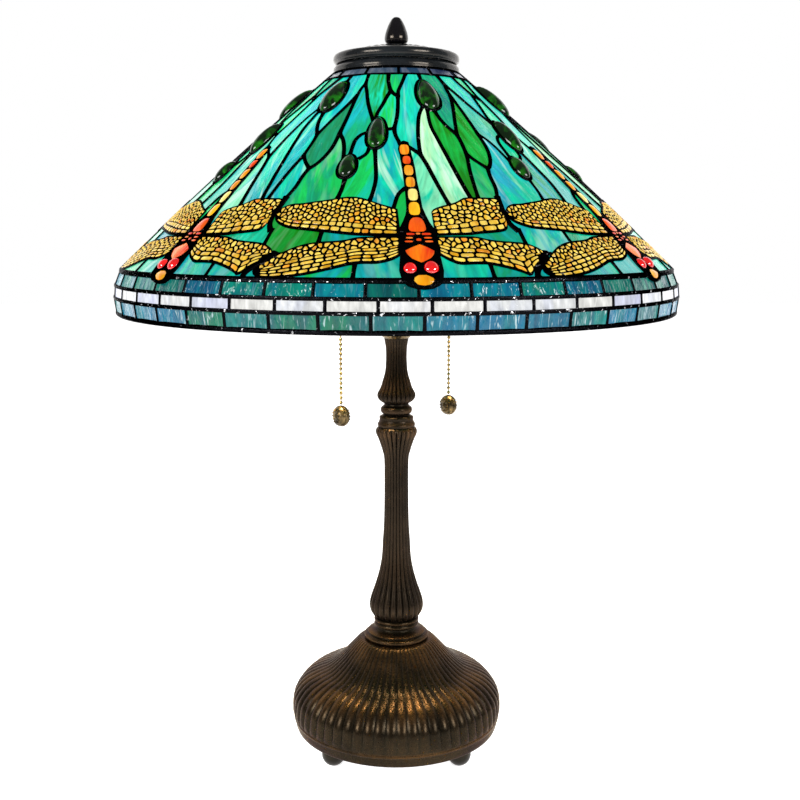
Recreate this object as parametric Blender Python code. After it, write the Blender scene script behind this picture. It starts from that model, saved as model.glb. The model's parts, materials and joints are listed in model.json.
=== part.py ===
"""Leaded-glass dragonfly table lamp.

A cast base and a turned stem are clamped on one threaded pipe. The pipe carries a cluster with two
pull-chain sockets, and a riser rod above it holds the shade between a support plate and a cap.
Metres, +Z up, front towards -Y, origin on the floor under the lamp's axis.
"""

import math

import bmesh
import bpy
from mathutils import Matrix, Vector
from mathutils.geometry import delaunay_2d_cdt

GAP = 0.0003  # kept between pieces that touch
FACETS_ROUND = 24  # sides of a turned piece

# Feet, base and what it hides
FOOT_RADIUS = 0.0115
FOOT_HEIGHT = 0.0162
FOOT_SINK = 0.0010  # how much of a foot's ball is cut off flat at the floor
FOOT_COUNT = 4
BASE_RADIUS = 0.1012
BASE_HEIGHT = 0.0865
BASE_WALL = 0.003
BASE_TOP_RADIUS = 0.030
BASE_SKIRT = 0.0007  # how far the casting's edge hides the tops of the feet
# Share of the way from the top's radius to the widest radius, and share of the height
BASE_OUTLINE = (
    (0.084, 0.988),
    (0.197, 0.896),
    (0.337, 0.772),
    (0.506, 0.661),
    (0.674, 0.601),
    (0.815, 0.538),
    (0.913, 0.455),
    (0.976, 0.365),
    (1.0, 0.20),
    (0.985, 0.124),
    (0.941, 0.0),
)
BASE_SIDES = 36
STEM_SIDES = 20
PLATE_THICKNESS = 0.0015
PLATE_INSET = 0.004
WEIGHT_HEIGHT = 0.016
WEIGHT_INNER_RADIUS = 0.020
WEIGHT_INSET = 0.023  # inside the base's widest circle
GROMMET_HEIGHT = 0.0175  # above the casting's edge
GROMMET_RADIUS = 0.0050
GROMMET_BORE_RADIUS = 0.0032
GROMMET_FLANGE = 0.0022
GROMMET_LIP = 0.0018
GROMMET_TAIL = 0.006

# Pipe and stem: each outline is (radius, share of the piece's height), from its foot upwards
PIPE_RADIUS = 0.0048
PIPE_BORE_RADIUS = 0.0034
PIPE_TAIL = 0.002  # pipe below its nut
PIPE_GRIP = 0.012  # pipe inside the cluster
NUT_HEIGHT = 0.005
NUT_WALL = 0.0035
COLLAR_HEIGHT = 0.0118
COLLAR_OUTLINE = (
    (0.0292, 0.0),
    (0.0308, 0.16),
    (0.0308, 0.33),
    (0.0272, 0.47),
    (0.0275, 0.60),
    (0.0215, 0.76),
    (0.0195, 0.90),
    (0.0195, 1.0),
)
BEAD_HEIGHT = 0.0082
BEAD_OUTLINE = (
    (0.0200, 0.0),
    (0.0213, 0.15),
    (0.0213, 0.36),
    (0.0204, 0.5),
    (0.0213, 0.64),
    (0.0213, 0.85),
    (0.0200, 1.0),
)
LOWER_HEIGHT = 0.1857
LOWER_OUTLINE = (
    (0.0203, 0.0),
    (0.0247, 0.033),
    (0.0261, 0.070),
    (0.0241, 0.114),
    (0.0198, 0.179),
    (0.0159, 0.254),
    (0.0139, 0.324),
    (0.0134, 0.420),
    (0.0124, 0.450),
    (0.0116, 0.560),
    (0.0114, 0.830),
    (0.0132, 0.879),
    (0.0170, 0.941),
    (0.0199, 0.978),
    (0.0195, 1.0),
)
CAPITAL_HEIGHT = 0.0220
CAPITAL_OUTLINE = (
    (0.0172, 0.0),
    (0.0174, 0.13),
    (0.0160, 0.48),
    (0.0124, 0.54),
    (0.0145, 0.67),
    (0.0145, 0.84),
    (0.0113, 1.0),
)
UPPER_HEIGHT = 0.0610
UPPER_OUTLINE = (
    (0.0114, 0.0),
    (0.0160, 0.07),
    (0.0181, 0.12),
    (0.0178, 0.15),
    (0.0150, 0.24),
    (0.0131, 0.34),
    (0.0107, 0.47),
    (0.0098, 0.62),
    (0.0099, 0.84),
    (0.0114, 1.0),
)

# Light cluster
HUB_HEIGHT = 0.0315
HUB_OUTLINE = ((0.0120, 0.0), (0.0165, 0.14), (0.0175, 0.45), (0.0150, 0.75), (0.0080, 1.0))
ARM_RADIUS = 0.0042
ARM_HEIGHT = 0.50  # share of the hub's height where the arms leave it
SOCKET_AZIMUTH = math.radians(32)  # the two sockets lie on this line, seen from above
SOCKET_TILT = math.radians(20)
SOCKET_REACH = 0.030  # from the lamp's axis to a socket's foot
SOCKET_RISE = 0.0435  # from the hub's foot to a socket's foot
CAP_LENGTH = 0.018
SHELL_LENGTH = 0.042
SHELL_RADIUS = 0.0165
SHELL_WALL = 0.0012
BLOCK_LENGTH = 0.016
SCREW_RADIUS = 0.0130
SCREW_LENGTH = 0.025
BULB_RADIUS = 0.030
BULB_LENGTH = 0.079
BULB_WALL = 0.0010
BULB_NECK_RADIUS = 0.0132

# Pull chains
PULL_REACH = 0.0593  # from the lamp's axis to a chain
SPOUT_RADIUS = 0.0036
SPOUT_HEIGHT = 0.005  # above the socket's foot, measured along the socket
SPOUT_DROP = 0.008  # from the spout's level to its mouth
SPOUT_BEND = 0.004
LEVER_RADIUS = 0.0016
LEVER_LENGTH = 0.010
LINK_RADIUS = 0.0034
LINK_TIP_RADIUS = 0.0009  # narrow, so that the link can swing under the lever
LINK_LENGTH = 0.0080
BEAD_PITCH = 0.00444
BEAD_RADIUS = 0.0016
WIRE_RADIUS = 0.0006
BEAD_COUNT = 18
FOB_RADIUS = 0.00975
FOB_THICKNESS = 0.0140

# Shade
REPEATS = 7
PIECES_PER_REPEAT = 6
SHADE_TURN = math.radians(3.8)  # a dragonfly's axis, from the front towards +X
TOP_RADIUS = 0.0563
BORDER_WIDTH = 0.0088
SHOULDER_RADIUS = 0.2476
CONE_DROP = 0.1717
CONE_CROWN = 0.0039  # how far the cone's side stands above a straight line
CONE_BANDS = 3
BELT_STEPS = ((0.0050, 0.0121), (0.0014, 0.0103), (-0.0021, 0.0130))  # outwards and down
GLASS_THICKNESS = 0.003
RIM_HEIGHT = 0.0024
RIM_WIDTH = 0.0045
OVERLAY_THICKNESS = 0.0015

# Riser, support, cap and finial
SHADE_RISE = 0.2360  # from the cluster's foot to the shade's top edge
ROD_RADIUS = 0.0030
ROD_GRIP = 0.012
ROD_NUT_WALL = 0.0030
SUPPORT_THICKNESS = 0.002
SUPPORT_INSET = 0.0028
SUPPORT_HOLES = 4
SUPPORT_HOLE_RADIUS = 0.0120
RING_WIDTH = 0.0075
RING_HEIGHT = 0.0076
CAP_HEIGHT = 0.0180
CAP_WALL = 0.0012
CAP_OUTLINE = (
    (0.130, 0.99),
    (0.270, 0.95),
    (0.530, 0.79),
    (0.800, 0.59),
    (0.968, 0.43),
    (1.0, 0.31),
    (1.0, 0.20),
    (0.970, 0.08),
    (0.990, 0.0),
)
FINIAL_HEIGHT = 0.0235
FINIAL_OUTLINE = (
    (0.0070, 0.0),
    (0.0100, 0.08),
    (0.0107, 0.19),
    (0.0098, 0.38),
    (0.0085, 0.51),
    (0.0065, 0.68),
    (0.0049, 0.81),
    (0.0030, 0.92),
)
INSERT_WALL = 0.0016
INSERT_LENGTH = 0.0095

# Degrees from the dragonfly's axis, and metres down the side of a cone whose side is DRAWN_SLANT
# long. The left wings are longer than the right ones.
DRAWN_SLANT = 0.2571
DRAWN_RADIUS = 0.2  # near the wings, so that both directions count alike when it is cut up
DRAGONFLY_OUTLINE = (
    (-2.4, 0.106),
    (-0.8, 0.106),
    (1.4, 0.140),
    (2.4, 0.194),
    (3.6, 0.184),
    (7.0, 0.177),
    (11.0, 0.1715),
    (16.0, 0.1695),
    (20.2, 0.1715),
    (18.8, 0.186),
    (19.2, 0.203),
    (12.0, 0.207),
    (5.0, 0.2105),
    (9.1, 0.214),
    (16.0, 0.2175),
    (20.8, 0.222),
    (24.0, 0.2305),
    (20.6, 0.241),
    (19.6, 0.250),
    (12.0, 0.243),
    (7.0, 0.240),
    (4.0, 0.231),
    (2.9, 0.246),
    (1.0, 0.2562),
    (-1.0, 0.2562),
    (-2.9, 0.246),
    (-3.2, 0.229),
    (-8.0, 0.241),
    (-13.0, 0.246),
    (-18.0, 0.2515),
    (-25.0, 0.2550),
    (-29.2, 0.248),
    (-26.6, 0.236),
    (-22.8, 0.228),
    (-18.8, 0.2215),
    (-13.0, 0.2185),
    (-5.0, 0.2115),
    (-13.0, 0.2065),
    (-22.0, 0.2035),
    (-28.0, 0.200),
    (-31.2, 0.190),
    (-27.0, 0.178),
    (-23.0, 0.1735),
    (-18.0, 0.170),
    (-12.5, 0.171),
    (-8.0, 0.177),
    (-3.6, 0.184),
    (-2.0, 0.190),
)

# Places that follow from the sizes above
BASE_EDGE_Z = FOOT_HEIGHT - BASE_SKIRT
BASE_TOP_Z = BASE_EDGE_Z + BASE_HEIGHT
PLATE_Z = FOOT_HEIGHT + GAP
WEIGHT_Z = PLATE_Z + PLATE_THICKNESS + GAP
COLLAR_Z = BASE_TOP_Z + GAP
STEM_BEAD_Z = COLLAR_Z + COLLAR_HEIGHT + GAP
LOWER_Z = STEM_BEAD_Z + BEAD_HEIGHT + GAP
CAPITAL_Z = LOWER_Z + LOWER_HEIGHT + GAP
UPPER_Z = CAPITAL_Z + CAPITAL_HEIGHT + GAP
HUB_Z = UPPER_Z + UPPER_HEIGHT + GAP
NUT_Z = PLATE_Z - GAP - NUT_HEIGHT
SOCKET_Z = HUB_Z + SOCKET_RISE
SHADE_Z = HUB_Z + SHADE_RISE
SUPPORT_Z = SHADE_Z - SUPPORT_THICKNESS
RING_Z = SHADE_Z + GAP
CAP_Z = RING_Z + RING_HEIGHT + GAP
FINIAL_Z = CAP_Z + CAP_HEIGHT + GAP
PIPE_BORE = PIPE_RADIUS + GAP  # radius of a hole that the pipe passes
ROD_BORE = ROD_RADIUS + GAP
INSERT_RADIUS = ROD_BORE + INSERT_WALL
SIDES = REPEATS * PIECES_PER_REPEAT
FACET = 2 * math.pi / SIDES
SHELL_BORE = SHELL_RADIUS - SHELL_WALL


# ---------------------------------------------------------------- materials

def material(name, colour, roughness, metallic, transmission=0.0):
    """A Principled material with the piece's plain colour."""
    made = bpy.data.materials.new(name)
    made.use_nodes = True
    shader = made.node_tree.nodes["Principled BSDF"]
    shader.inputs["Base Color"].default_value = (*colour, 1.0)
    shader.inputs["Roughness"].default_value = roughness
    shader.inputs["Metallic"].default_value = metallic
    shader.inputs["Transmission Weight"].default_value = transmission
    made.diffuse_color = (*colour, 1.0)
    return made


def make_materials():
    return {
        "bronze": material("bronze", (0.09, 0.055, 0.035), 0.42, 1.0),
        "dark_gloss": material("dark_gloss", (0.02, 0.018, 0.016), 0.15, 0.3),
        "steel": material("steel", (0.45, 0.45, 0.46), 0.4, 1.0),
        "iron": material("iron", (0.12, 0.12, 0.12), 0.7, 1.0),
        "brass": material("brass", (0.62, 0.45, 0.20), 0.35, 1.0),
        "antique_brass": material("antique_brass", (0.30, 0.20, 0.10), 0.4, 1.0),
        "rubber": material("rubber", (0.02, 0.02, 0.02), 0.7, 0.0),
        "insulator": material("insulator", (0.75, 0.72, 0.66), 0.5, 0.0),
        "bulb_glass": material("bulb_glass", (1.0, 0.95, 0.85), 0.1, 0.0, 0.9),
        "lead": material("lead", (0.03, 0.03, 0.03), 0.35, 0.8),
        "teal_glass": material("teal_glass", (0.02, 0.45, 0.40), 0.15, 0.0, 0.4),
        "blue_glass": material("blue_glass", (0.04, 0.12, 0.20), 0.15, 0.0, 0.4),
        "white_glass": material("white_glass", (0.75, 0.78, 0.88), 0.2, 0.0, 0.3),
        "amber_glass": material("amber_glass", (0.80, 0.50, 0.06), 0.2, 0.0, 0.3),
    }


# ---------------------------------------------------------------- building blocks

def add_object(name, mesh, finish, parent=None, matrix=None):
    """One named object with its material, placed under its parent."""
    made = bpy.data.objects.new(name, mesh)
    bpy.context.scene.collection.objects.link(made)
    if not mesh.materials:
        mesh.materials.append(finish)
    mesh.shade_smooth()
    mesh.set_sharp_from_angle(angle=math.radians(35))
    made.parent = parent
    if matrix is not None:
        made.matrix_local = matrix
    return made


def add_empty(name, matrix, parent=None):
    made = bpy.data.objects.new(name, None)
    bpy.context.scene.collection.objects.link(made)
    made.parent = parent
    made.matrix_local = matrix
    return made


def mesh_from(shape, name):
    """Closes a bmesh into a mesh with its faces pointing out."""
    bmesh.ops.remove_doubles(shape, verts=shape.verts, dist=1e-6)
    bmesh.ops.recalc_face_normals(shape, faces=shape.faces)
    mesh = bpy.data.meshes.new(name)
    shape.to_mesh(mesh)
    shape.free()
    return mesh


def turned_mesh(name, outline, sides=FACETS_ROUND, phase=0.0):
    """A solid of revolution about Z from a closed (radius, height) outline."""
    shape = bmesh.new()
    rings = []
    for step in range(sides):
        angle = phase + 2 * math.pi * step / sides
        across = Vector((math.sin(angle), -math.cos(angle), 0))
        rings.append([shape.verts.new(across * r + Vector((0, 0, z))) for r, z in outline])
    for step in range(sides):
        here, there = rings[step], rings[(step + 1) % sides]
        for i in range(len(outline)):
            j = (i + 1) % len(outline)
            if outline[i][0] == 0 and outline[j][0] == 0:
                continue
            shape.faces.new((here[i], here[j], there[j], there[i]))
    return mesh_from(shape, name)


def turned(name, outline, finish, sides=FACETS_ROUND, parent=None, matrix=None):
    return add_object(name, turned_mesh(name, outline, sides), finish, parent, matrix)


def sleeve_outline(outer, height, bore, foot=0.0):
    """A turned outside given by shares of a height, with a straight hole down its middle."""
    outside = [(radius, foot + share * height) for radius, share in outer]
    return outside + [(bore, foot + height), (bore, foot)]


def tube_outline(inner, outer, foot, top):
    return [(outer, foot), (outer, top), (inner, top), (inner, foot)]


def mitred(points, distance):
    """The outline moved sideways by a distance, to its left when it runs along its points."""
    moved = []
    for i, point in enumerate(points):
        before = Vector(points[max(i - 1, 0)])
        after = Vector(points[min(i + 1, len(points) - 1)])
        here = Vector(point)
        sides = [edge.normalized() for edge in (here - before, after - here) if edge.length > 0]
        normals = [Vector((-edge.y, edge.x)) for edge in sides]
        middle = sum(normals, Vector((0, 0))).normalized()
        moved.append(tuple(here + middle * (distance / middle.dot(normals[0]))))
    return moved


def bend(points, step):
    """Points of a smooth curve through the given ones, by Catmull-Rom, with step pieces each."""
    ends = [points[0] * 2 - points[1], *points, points[-1] * 2 - points[-2]]
    curve = []
    for a, b, c, d in zip(ends, ends[1:], ends[2:], ends[3:]):
        for i in range(step):
            t = i / step
            curve.append(
                0.5 * (2 * b + (c - a) * t + (2 * a - 5 * b + 4 * c - d) * t * t + (3 * b - a - 3 * c + d) * t**3)
            )
    return [*curve, points[-1]]


def rod_mesh(name, path, radius, sides=8):
    """A round bar along a path that lies in the XZ plane."""
    shape = bmesh.new()
    rings = []
    for i, point in enumerate(path):
        along = (path[min(i + 1, len(path) - 1)] - path[max(i - 1, 0)]).normalized()
        side = Vector((0, 1, 0))
        up = along.cross(side)
        ring = []
        for step in range(sides):
            angle = 2 * math.pi * step / sides
            ring.append(shape.verts.new(point + radius * (math.cos(angle) * side + math.sin(angle) * up)))
        rings.append(ring)
    for here, there in zip(rings, rings[1:]):
        for step in range(sides):
            after = (step + 1) % sides
            shape.faces.new((here[step], here[after], there[after], there[step]))
    shape.faces.new(rings[0])
    shape.faces.new(rings[-1])
    return mesh_from(shape, name)


def helper(name, mesh, matrix=None):
    """A cutter or a shape to join: it is used by a Boolean and isn't a piece."""
    made = bpy.data.objects.new(name, mesh)
    bpy.context.scene.collection.objects.link(made)
    made.hide_render = True
    made.display_type = "WIRE"
    if matrix is not None:
        made.matrix_world = matrix
    return made


def boolean(target, other, operation):
    modifier = target.modifiers.new(other.name, "BOOLEAN")
    modifier.object = other
    modifier.operation = operation
    modifier.solver = "EXACT"


# ---------------------------------------------------------------- base

def base_outside():
    """The casting's outside, from its top edge down to its lower edge."""
    spread = BASE_RADIUS - BASE_TOP_RADIUS
    points = [(BASE_TOP_RADIUS, BASE_TOP_Z)]
    for out, up in BASE_OUTLINE:
        points.append((BASE_TOP_RADIUS + spread * out, BASE_EDGE_Z + BASE_HEIGHT * up))
    return points


def make_base(finishes):
    outside = base_outside()
    inside = mitred(outside, -BASE_WALL)
    ceiling = BASE_TOP_Z - 2 * BASE_WALL
    inside = [(r, min(z, ceiling)) for r, z in inside[1:-1]]
    foot_of_wall = (outside[-1][0] - BASE_WALL, BASE_EDGE_Z)
    outline = [*outside, foot_of_wall, *reversed(inside), (PIPE_BORE, ceiling), (PIPE_BORE, BASE_TOP_Z)]
    casting = turned("base_casting", outline, finishes["bronze"], BASE_SIDES)

    wall = BASE_RADIUS - BASE_WALL
    height = BASE_EDGE_Z + GROMMET_HEIGHT
    to_back = Matrix.Translation((0, 0, height)) @ Matrix.Rotation(-math.pi / 2, 4, "X")
    hole = tube_outline(0, GROMMET_RADIUS + GAP, wall - GROMMET_TAIL, BASE_RADIUS + GROMMET_TAIL)
    boolean(casting, helper("grommet_hole", turned_mesh("grommet_hole", hole, 12), to_back), "DIFFERENCE")
    flange_foot = BASE_RADIUS + GAP
    grommet = [
        (GROMMET_BORE_RADIUS, wall - GROMMET_TAIL),
        (GROMMET_RADIUS, wall - GROMMET_TAIL),
        (GROMMET_RADIUS, flange_foot),
        (GROMMET_RADIUS + GROMMET_FLANGE, flange_foot),
        (GROMMET_RADIUS + GROMMET_FLANGE, flange_foot + GROMMET_LIP),
        (GROMMET_BORE_RADIUS, flange_foot + GROMMET_LIP),
    ]
    turned("cord_grommet", grommet, finishes["rubber"], 12, matrix=to_back)

    plate_radius = outside[-1][0] - BASE_WALL - PLATE_INSET
    plate = tube_outline(PIPE_BORE, plate_radius, PLATE_Z, PLATE_Z + PLATE_THICKNESS)
    turned("base_plate", plate, finishes["steel"])
    weight_radius = BASE_RADIUS - WEIGHT_INSET
    weight = tube_outline(WEIGHT_INNER_RADIUS, weight_radius, WEIGHT_Z, WEIGHT_Z + WEIGHT_HEIGHT)
    turned("base_weight", weight, finishes["iron"])


def foot_outline():
    """Half of a ball, cut flat where it stands and where it meets the plate."""
    centre = FOOT_RADIUS - FOOT_SINK
    levels = 6
    low = math.asin(-centre / FOOT_RADIUS)
    high = math.asin((FOOT_HEIGHT - centre) / FOOT_RADIUS)
    points = [(0, 0)]
    for step in range(levels):
        angle = low + (high - low) * step / (levels - 1)
        points.append((FOOT_RADIUS * math.cos(angle), centre + FOOT_RADIUS * math.sin(angle)))
    return [*points, (0, FOOT_HEIGHT)]


def make_feet(finishes):
    mesh = turned_mesh("foot", foot_outline(), 14)
    circle = base_outside()[-1][0] - BASE_WALL - FOOT_RADIUS
    for step in range(FOOT_COUNT):
        angle = 2 * math.pi * (step + 0.5) / FOOT_COUNT
        place = Matrix.Translation((circle * math.cos(angle), circle * math.sin(angle), 0))
        add_object(f"foot_{step + 1}", mesh, finishes["bronze"], matrix=place)


# ---------------------------------------------------------------- stem

def make_stem(finishes):
    bronze = finishes["bronze"]
    stack = (
        ("base_collar", COLLAR_OUTLINE, COLLAR_HEIGHT, COLLAR_Z),
        ("stem_bead", BEAD_OUTLINE, BEAD_HEIGHT, STEM_BEAD_Z),
        ("stem_lower", LOWER_OUTLINE, LOWER_HEIGHT, LOWER_Z),
        ("stem_ring", CAPITAL_OUTLINE, CAPITAL_HEIGHT, CAPITAL_Z),
        ("stem_upper", UPPER_OUTLINE, UPPER_HEIGHT, UPPER_Z),
    )
    for name, outline, height, foot in stack:
        turned(name, sleeve_outline(outline, height, PIPE_BORE, foot), bronze, STEM_SIDES)
    foot = NUT_Z - PIPE_TAIL
    pipe = tube_outline(PIPE_BORE_RADIUS, PIPE_RADIUS, foot, HUB_Z + PIPE_GRIP)
    turned("stem_pipe", pipe, finishes["steel"], 12)
    nut = tube_outline(PIPE_BORE, PIPE_BORE + NUT_WALL, NUT_Z, NUT_Z + NUT_HEIGHT)
    turned("pipe_nut", nut, finishes["steel"], 12)


# ---------------------------------------------------------------- light cluster

def socket_frame(index):
    """Local Z runs up the socket and out, local X points away from the lamp's axis."""
    turn = Matrix.Rotation(SOCKET_AZIMUTH + math.pi * (1 - index), 4, "Z")
    foot = Matrix.Translation((SOCKET_REACH, 0, SOCKET_Z))
    return turn @ foot @ Matrix.Rotation(SOCKET_TILT, 4, "Y")


def hub_outline():
    """The hub, with a blind hole below for the pipe and one above for the riser rod."""
    top = HUB_Z + HUB_HEIGHT
    outside = [(radius, HUB_Z + share * HUB_HEIGHT) for radius, share in HUB_OUTLINE]
    above = [(ROD_BORE, top), (ROD_BORE, top - ROD_GRIP - GAP), (0, top - ROD_GRIP - GAP)]
    below = [(0, HUB_Z + PIPE_GRIP + GAP), (PIPE_BORE, HUB_Z + PIPE_GRIP + GAP), (PIPE_BORE, HUB_Z)]
    return outside + above + below


def arm_mesh(index):
    """From inside the hub's wall out and up to the socket's foot."""
    level = HUB_Z + HUB_HEIGHT * ARM_HEIGHT
    start = Vector((HUB_OUTLINE[2][0] * 0.62, 0, level))
    away = Vector((math.sin(SOCKET_TILT), 0, math.cos(SOCKET_TILT)))
    end = Vector((SOCKET_REACH, 0, SOCKET_Z)) - away * GAP
    path = bend([start, start.lerp(Vector((end.x, 0, level)), 0.75), end - away * 0.012, end], 3)
    mesh = rod_mesh(f"arm_{index}", path, ARM_RADIUS)
    mesh.transform(Matrix.Rotation(SOCKET_AZIMUTH + math.pi * (1 - index), 4, "Z"))
    return mesh


def make_hub(finishes):
    hub = turned("cluster_body", hub_outline(), finishes["antique_brass"], 20)
    for index in (0, 1):
        boolean(hub, helper(f"cluster_arm_{index + 1}", arm_mesh(index)), "UNION")


def bulb_outline(foot):
    """A thin glass envelope: a ball on a neck, open where it meets the screw base."""
    centre = foot + BULB_LENGTH - BULB_RADIUS
    outside = [(BULB_NECK_RADIUS, foot), (BULB_NECK_RADIUS * 1.08, foot + 0.22 * BULB_LENGTH)]
    steps = 6
    low = math.radians(-48)
    for step in range(steps):
        angle = low + (math.pi / 2 - low) * step / (steps - 1)
        outside.append((BULB_RADIUS * math.cos(angle), centre + BULB_RADIUS * math.sin(angle)))
    outside[-1] = (0, centre + BULB_RADIUS)
    inside = []
    for radius, height in outside[2:-1]:
        shrink = 1 - BULB_WALL / BULB_RADIUS
        inside.append((radius * shrink, centre + (height - centre) * shrink))
    inside.append((0, centre + BULB_RADIUS - BULB_WALL))
    neck = BULB_NECK_RADIUS - BULB_WALL
    return [*outside, *reversed(inside), (neck * 1.08, foot + 0.22 * BULB_LENGTH), (neck, foot)]


def cap_with_spout(index, frame, finish):
    """The socket's lower cap, with a level spout that ends over the chain."""
    outline = [(0, 0), (0.008, 0), (0.014, 0.30 * CAP_LENGTH), (SHELL_RADIUS, 0.62 * CAP_LENGTH)]
    outline += [(SHELL_RADIUS, CAP_LENGTH), (0, CAP_LENGTH)]
    cap = turned(f"socket_cap_{index + 1}", outline, finish, 16, frame)
    turn = Matrix.Rotation(SOCKET_AZIMUTH + math.pi * (1 - index), 4, "Z")
    level = SOCKET_Z + SPOUT_HEIGHT * math.cos(SOCKET_TILT)
    inner = SOCKET_REACH + SPOUT_HEIGHT * math.sin(SOCKET_TILT) + 0.6 * SHELL_RADIUS
    low = pull_top() + GAP
    corner = Vector((PULL_REACH, 0, level))
    bends = [corner - Vector((SPOUT_BEND, 0, 0)), corner - Vector((0, 0, SPOUT_BEND))]
    path = bend([Vector((inner, 0, level)), *bends], 3)
    path.append(Vector((PULL_REACH, 0, low)))
    mesh = rod_mesh(f"spout_{index + 1}", path, SPOUT_RADIUS)
    mesh.transform(turn)
    boolean(cap, helper(f"cap_spout_{index + 1}", mesh), "UNION")


def make_sockets(finishes):
    for index in (0, 1):
        number = index + 1
        frame = add_empty(f"socket_{number}_axis", socket_frame(index))
        cap_with_spout(index, frame, finishes["brass"])
        foot = CAP_LENGTH + GAP
        shell = tube_outline(SHELL_BORE, SHELL_RADIUS, foot, foot + SHELL_LENGTH)
        turned(f"socket_shell_{number}", shell, finishes["brass"], 16, frame)
        block = [(0, foot), (SHELL_BORE - GAP, foot), (SHELL_BORE - GAP, foot + BLOCK_LENGTH), (0, foot + BLOCK_LENGTH)]
        turned(f"switch_block_{number}", block, finishes["insulator"], 16, frame)
        screw = foot + BLOCK_LENGTH + GAP
        tip = screw + 0.28 * SCREW_LENGTH
        bulb = screw + SCREW_LENGTH
        thread = [(0, screw), (0.004, screw), (SCREW_RADIUS, tip), (SCREW_RADIUS, bulb), (0, bulb)]
        turned(f"bulb_base_{number}", thread, finishes["steel"], 14, frame)
        envelope = bulb_outline(bulb + GAP)
        turned(f"bulb_glass_{number}", envelope, finishes["bulb_glass"], 14, frame)


# ---------------------------------------------------------------- pull chains

def pull_top():
    """The top of a lever, just under its spout's mouth."""
    return SOCKET_Z + SPOUT_HEIGHT * math.cos(SOCKET_TILT) - SPOUT_DROP


def chain_outline(top):
    """Balls on a wire, from the lowest ball up."""
    points = [(0, top - BEAD_COUNT * BEAD_PITCH)]
    for step in reversed(range(BEAD_COUNT)):
        middle = top - (step + 0.5) * BEAD_PITCH
        points += [(WIRE_RADIUS, middle - 0.5 * BEAD_PITCH), (BEAD_RADIUS, middle)]
    return [*points, (WIRE_RADIUS, top), (0, top)]


def fob_outline():
    """Two flat domes back to back, turned about the fob's own axis."""
    half = FOB_THICKNESS / 2
    rim = 0.0012
    dome = [(0, half), (0.45 * FOB_RADIUS, 0.93 * half), (0.82 * FOB_RADIUS, 0.58 * half), (FOB_RADIUS, rim)]
    return [(r, -z) for r, z in dome] + list(reversed(dome))


def make_pulls(finishes):
    brass = finishes["antique_brass"]
    for index in (0, 1):
        number = index + 1
        turn = SOCKET_AZIMUTH + math.pi * (1 - index)
        top = pull_top()
        place = Matrix.Rotation(turn, 4, "Z") @ Matrix.Translation((PULL_REACH, 0, top))
        slide = add_empty(f"pull_{number}_slide", place)
        lever = tube_outline(0, LEVER_RADIUS, -LEVER_LENGTH, 0)
        turned(f"pull_lever_{number}", lever, brass, 8, slide)
        pivot = add_empty(f"pull_{number}_pivot", Matrix.Translation((0, 0, -LEVER_LENGTH - GAP)), slide)
        bell = [(0, 0), (LINK_TIP_RADIUS, 0), (LINK_RADIUS, -0.55 * LINK_LENGTH), (LINK_RADIUS, -LINK_LENGTH)]
        bell.append((0, -LINK_LENGTH))
        turned(f"pull_link_{number}", bell, brass, 10, pivot)
        swing = add_empty(f"pull_{number}_swing", Matrix.Translation((0, 0, -LINK_LENGTH - GAP)), pivot)
        turned(f"pull_chain_{number}", chain_outline(0), brass, 6, swing)
        drop = BEAD_COUNT * BEAD_PITCH + GAP + FOB_RADIUS
        lie = Matrix.Translation((0, 0, -drop)) @ Matrix.Rotation(math.pi / 2, 4, "Y")
        turned(f"fob_{number}", fob_outline(), brass, 16, swing, lie)


# ---------------------------------------------------------------- shade

def shade_profile():
    """The shade's outside in one meridian, from its top edge to the lower edge of the belt."""
    span = SHOULDER_RADIUS - TOP_RADIUS
    shares = [0, BORDER_WIDTH / span]
    shares += [shares[1] + (1 - shares[1]) * (i + 1) / CONE_BANDS for i in range(CONE_BANDS)]
    points = []
    for share in shares:
        crown = 4 * CONE_CROWN * share * (1 - share)
        points.append((TOP_RADIUS + span * share, SHADE_Z - CONE_DROP * share + crown))
    for out, down in BELT_STEPS:
        points.append((points[-1][0] + out, points[-1][1] - down))
    return points


SHOULDER = 1 + CONE_BANDS  # index of the cone's lower edge in the profile


def band_outline(first, last, depth=GLASS_THICKNESS):
    """A closed outline of the shade's wall between two points of its profile, trimmed at both ends."""
    outside = [Vector(p) for p in shade_profile()]
    inside = [Vector(p) for p in mitred(shade_profile(), -depth)]
    trimmed = []
    for wall in (outside, inside):
        down = (wall[first + 1] - wall[first]).normalized() * GAP / 2
        up = (wall[last - 1] - wall[last]).normalized() * GAP / 2
        trimmed.append([wall[first] + down, *wall[first + 1 : last], wall[last] + up])
    return [tuple(p) for p in trimmed[0] + trimmed[1][::-1]]


def across(angle):
    """Unit vector at an angle from the front towards +X."""
    return Vector((math.sin(angle), -math.cos(angle), 0))


def panel_mesh(index, outline):
    """One repeat of the cone: the wall's outline swept over its flat facets, with a gap at each seam."""
    shape = bmesh.new()
    rings = []
    for step in range(PIECES_PER_REPEAT + 1):
        angle = SHADE_TURN + index * FACET * PIECES_PER_REPEAT + (step - PIECES_PER_REPEAT / 2) * FACET
        trim = {0: 1, PIECES_PER_REPEAT: -1}.get(step, 0)
        ring = []
        for radius, height in outline:
            turn = angle + trim * GAP / 2 / radius
            ring.append(shape.verts.new(across(turn) * radius + Vector((0, 0, height))))
        rings.append(ring)
    for here, there in zip(rings, rings[1:]):
        for i in range(len(outline)):
            j = (i + 1) % len(outline)
            shape.faces.new((here[i], here[j], there[j], there[i]))
    shape.faces.new(rings[0])
    shape.faces.new(rings[-1])
    return mesh_from(shape, f"cone_panel_{index + 1}")


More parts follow.
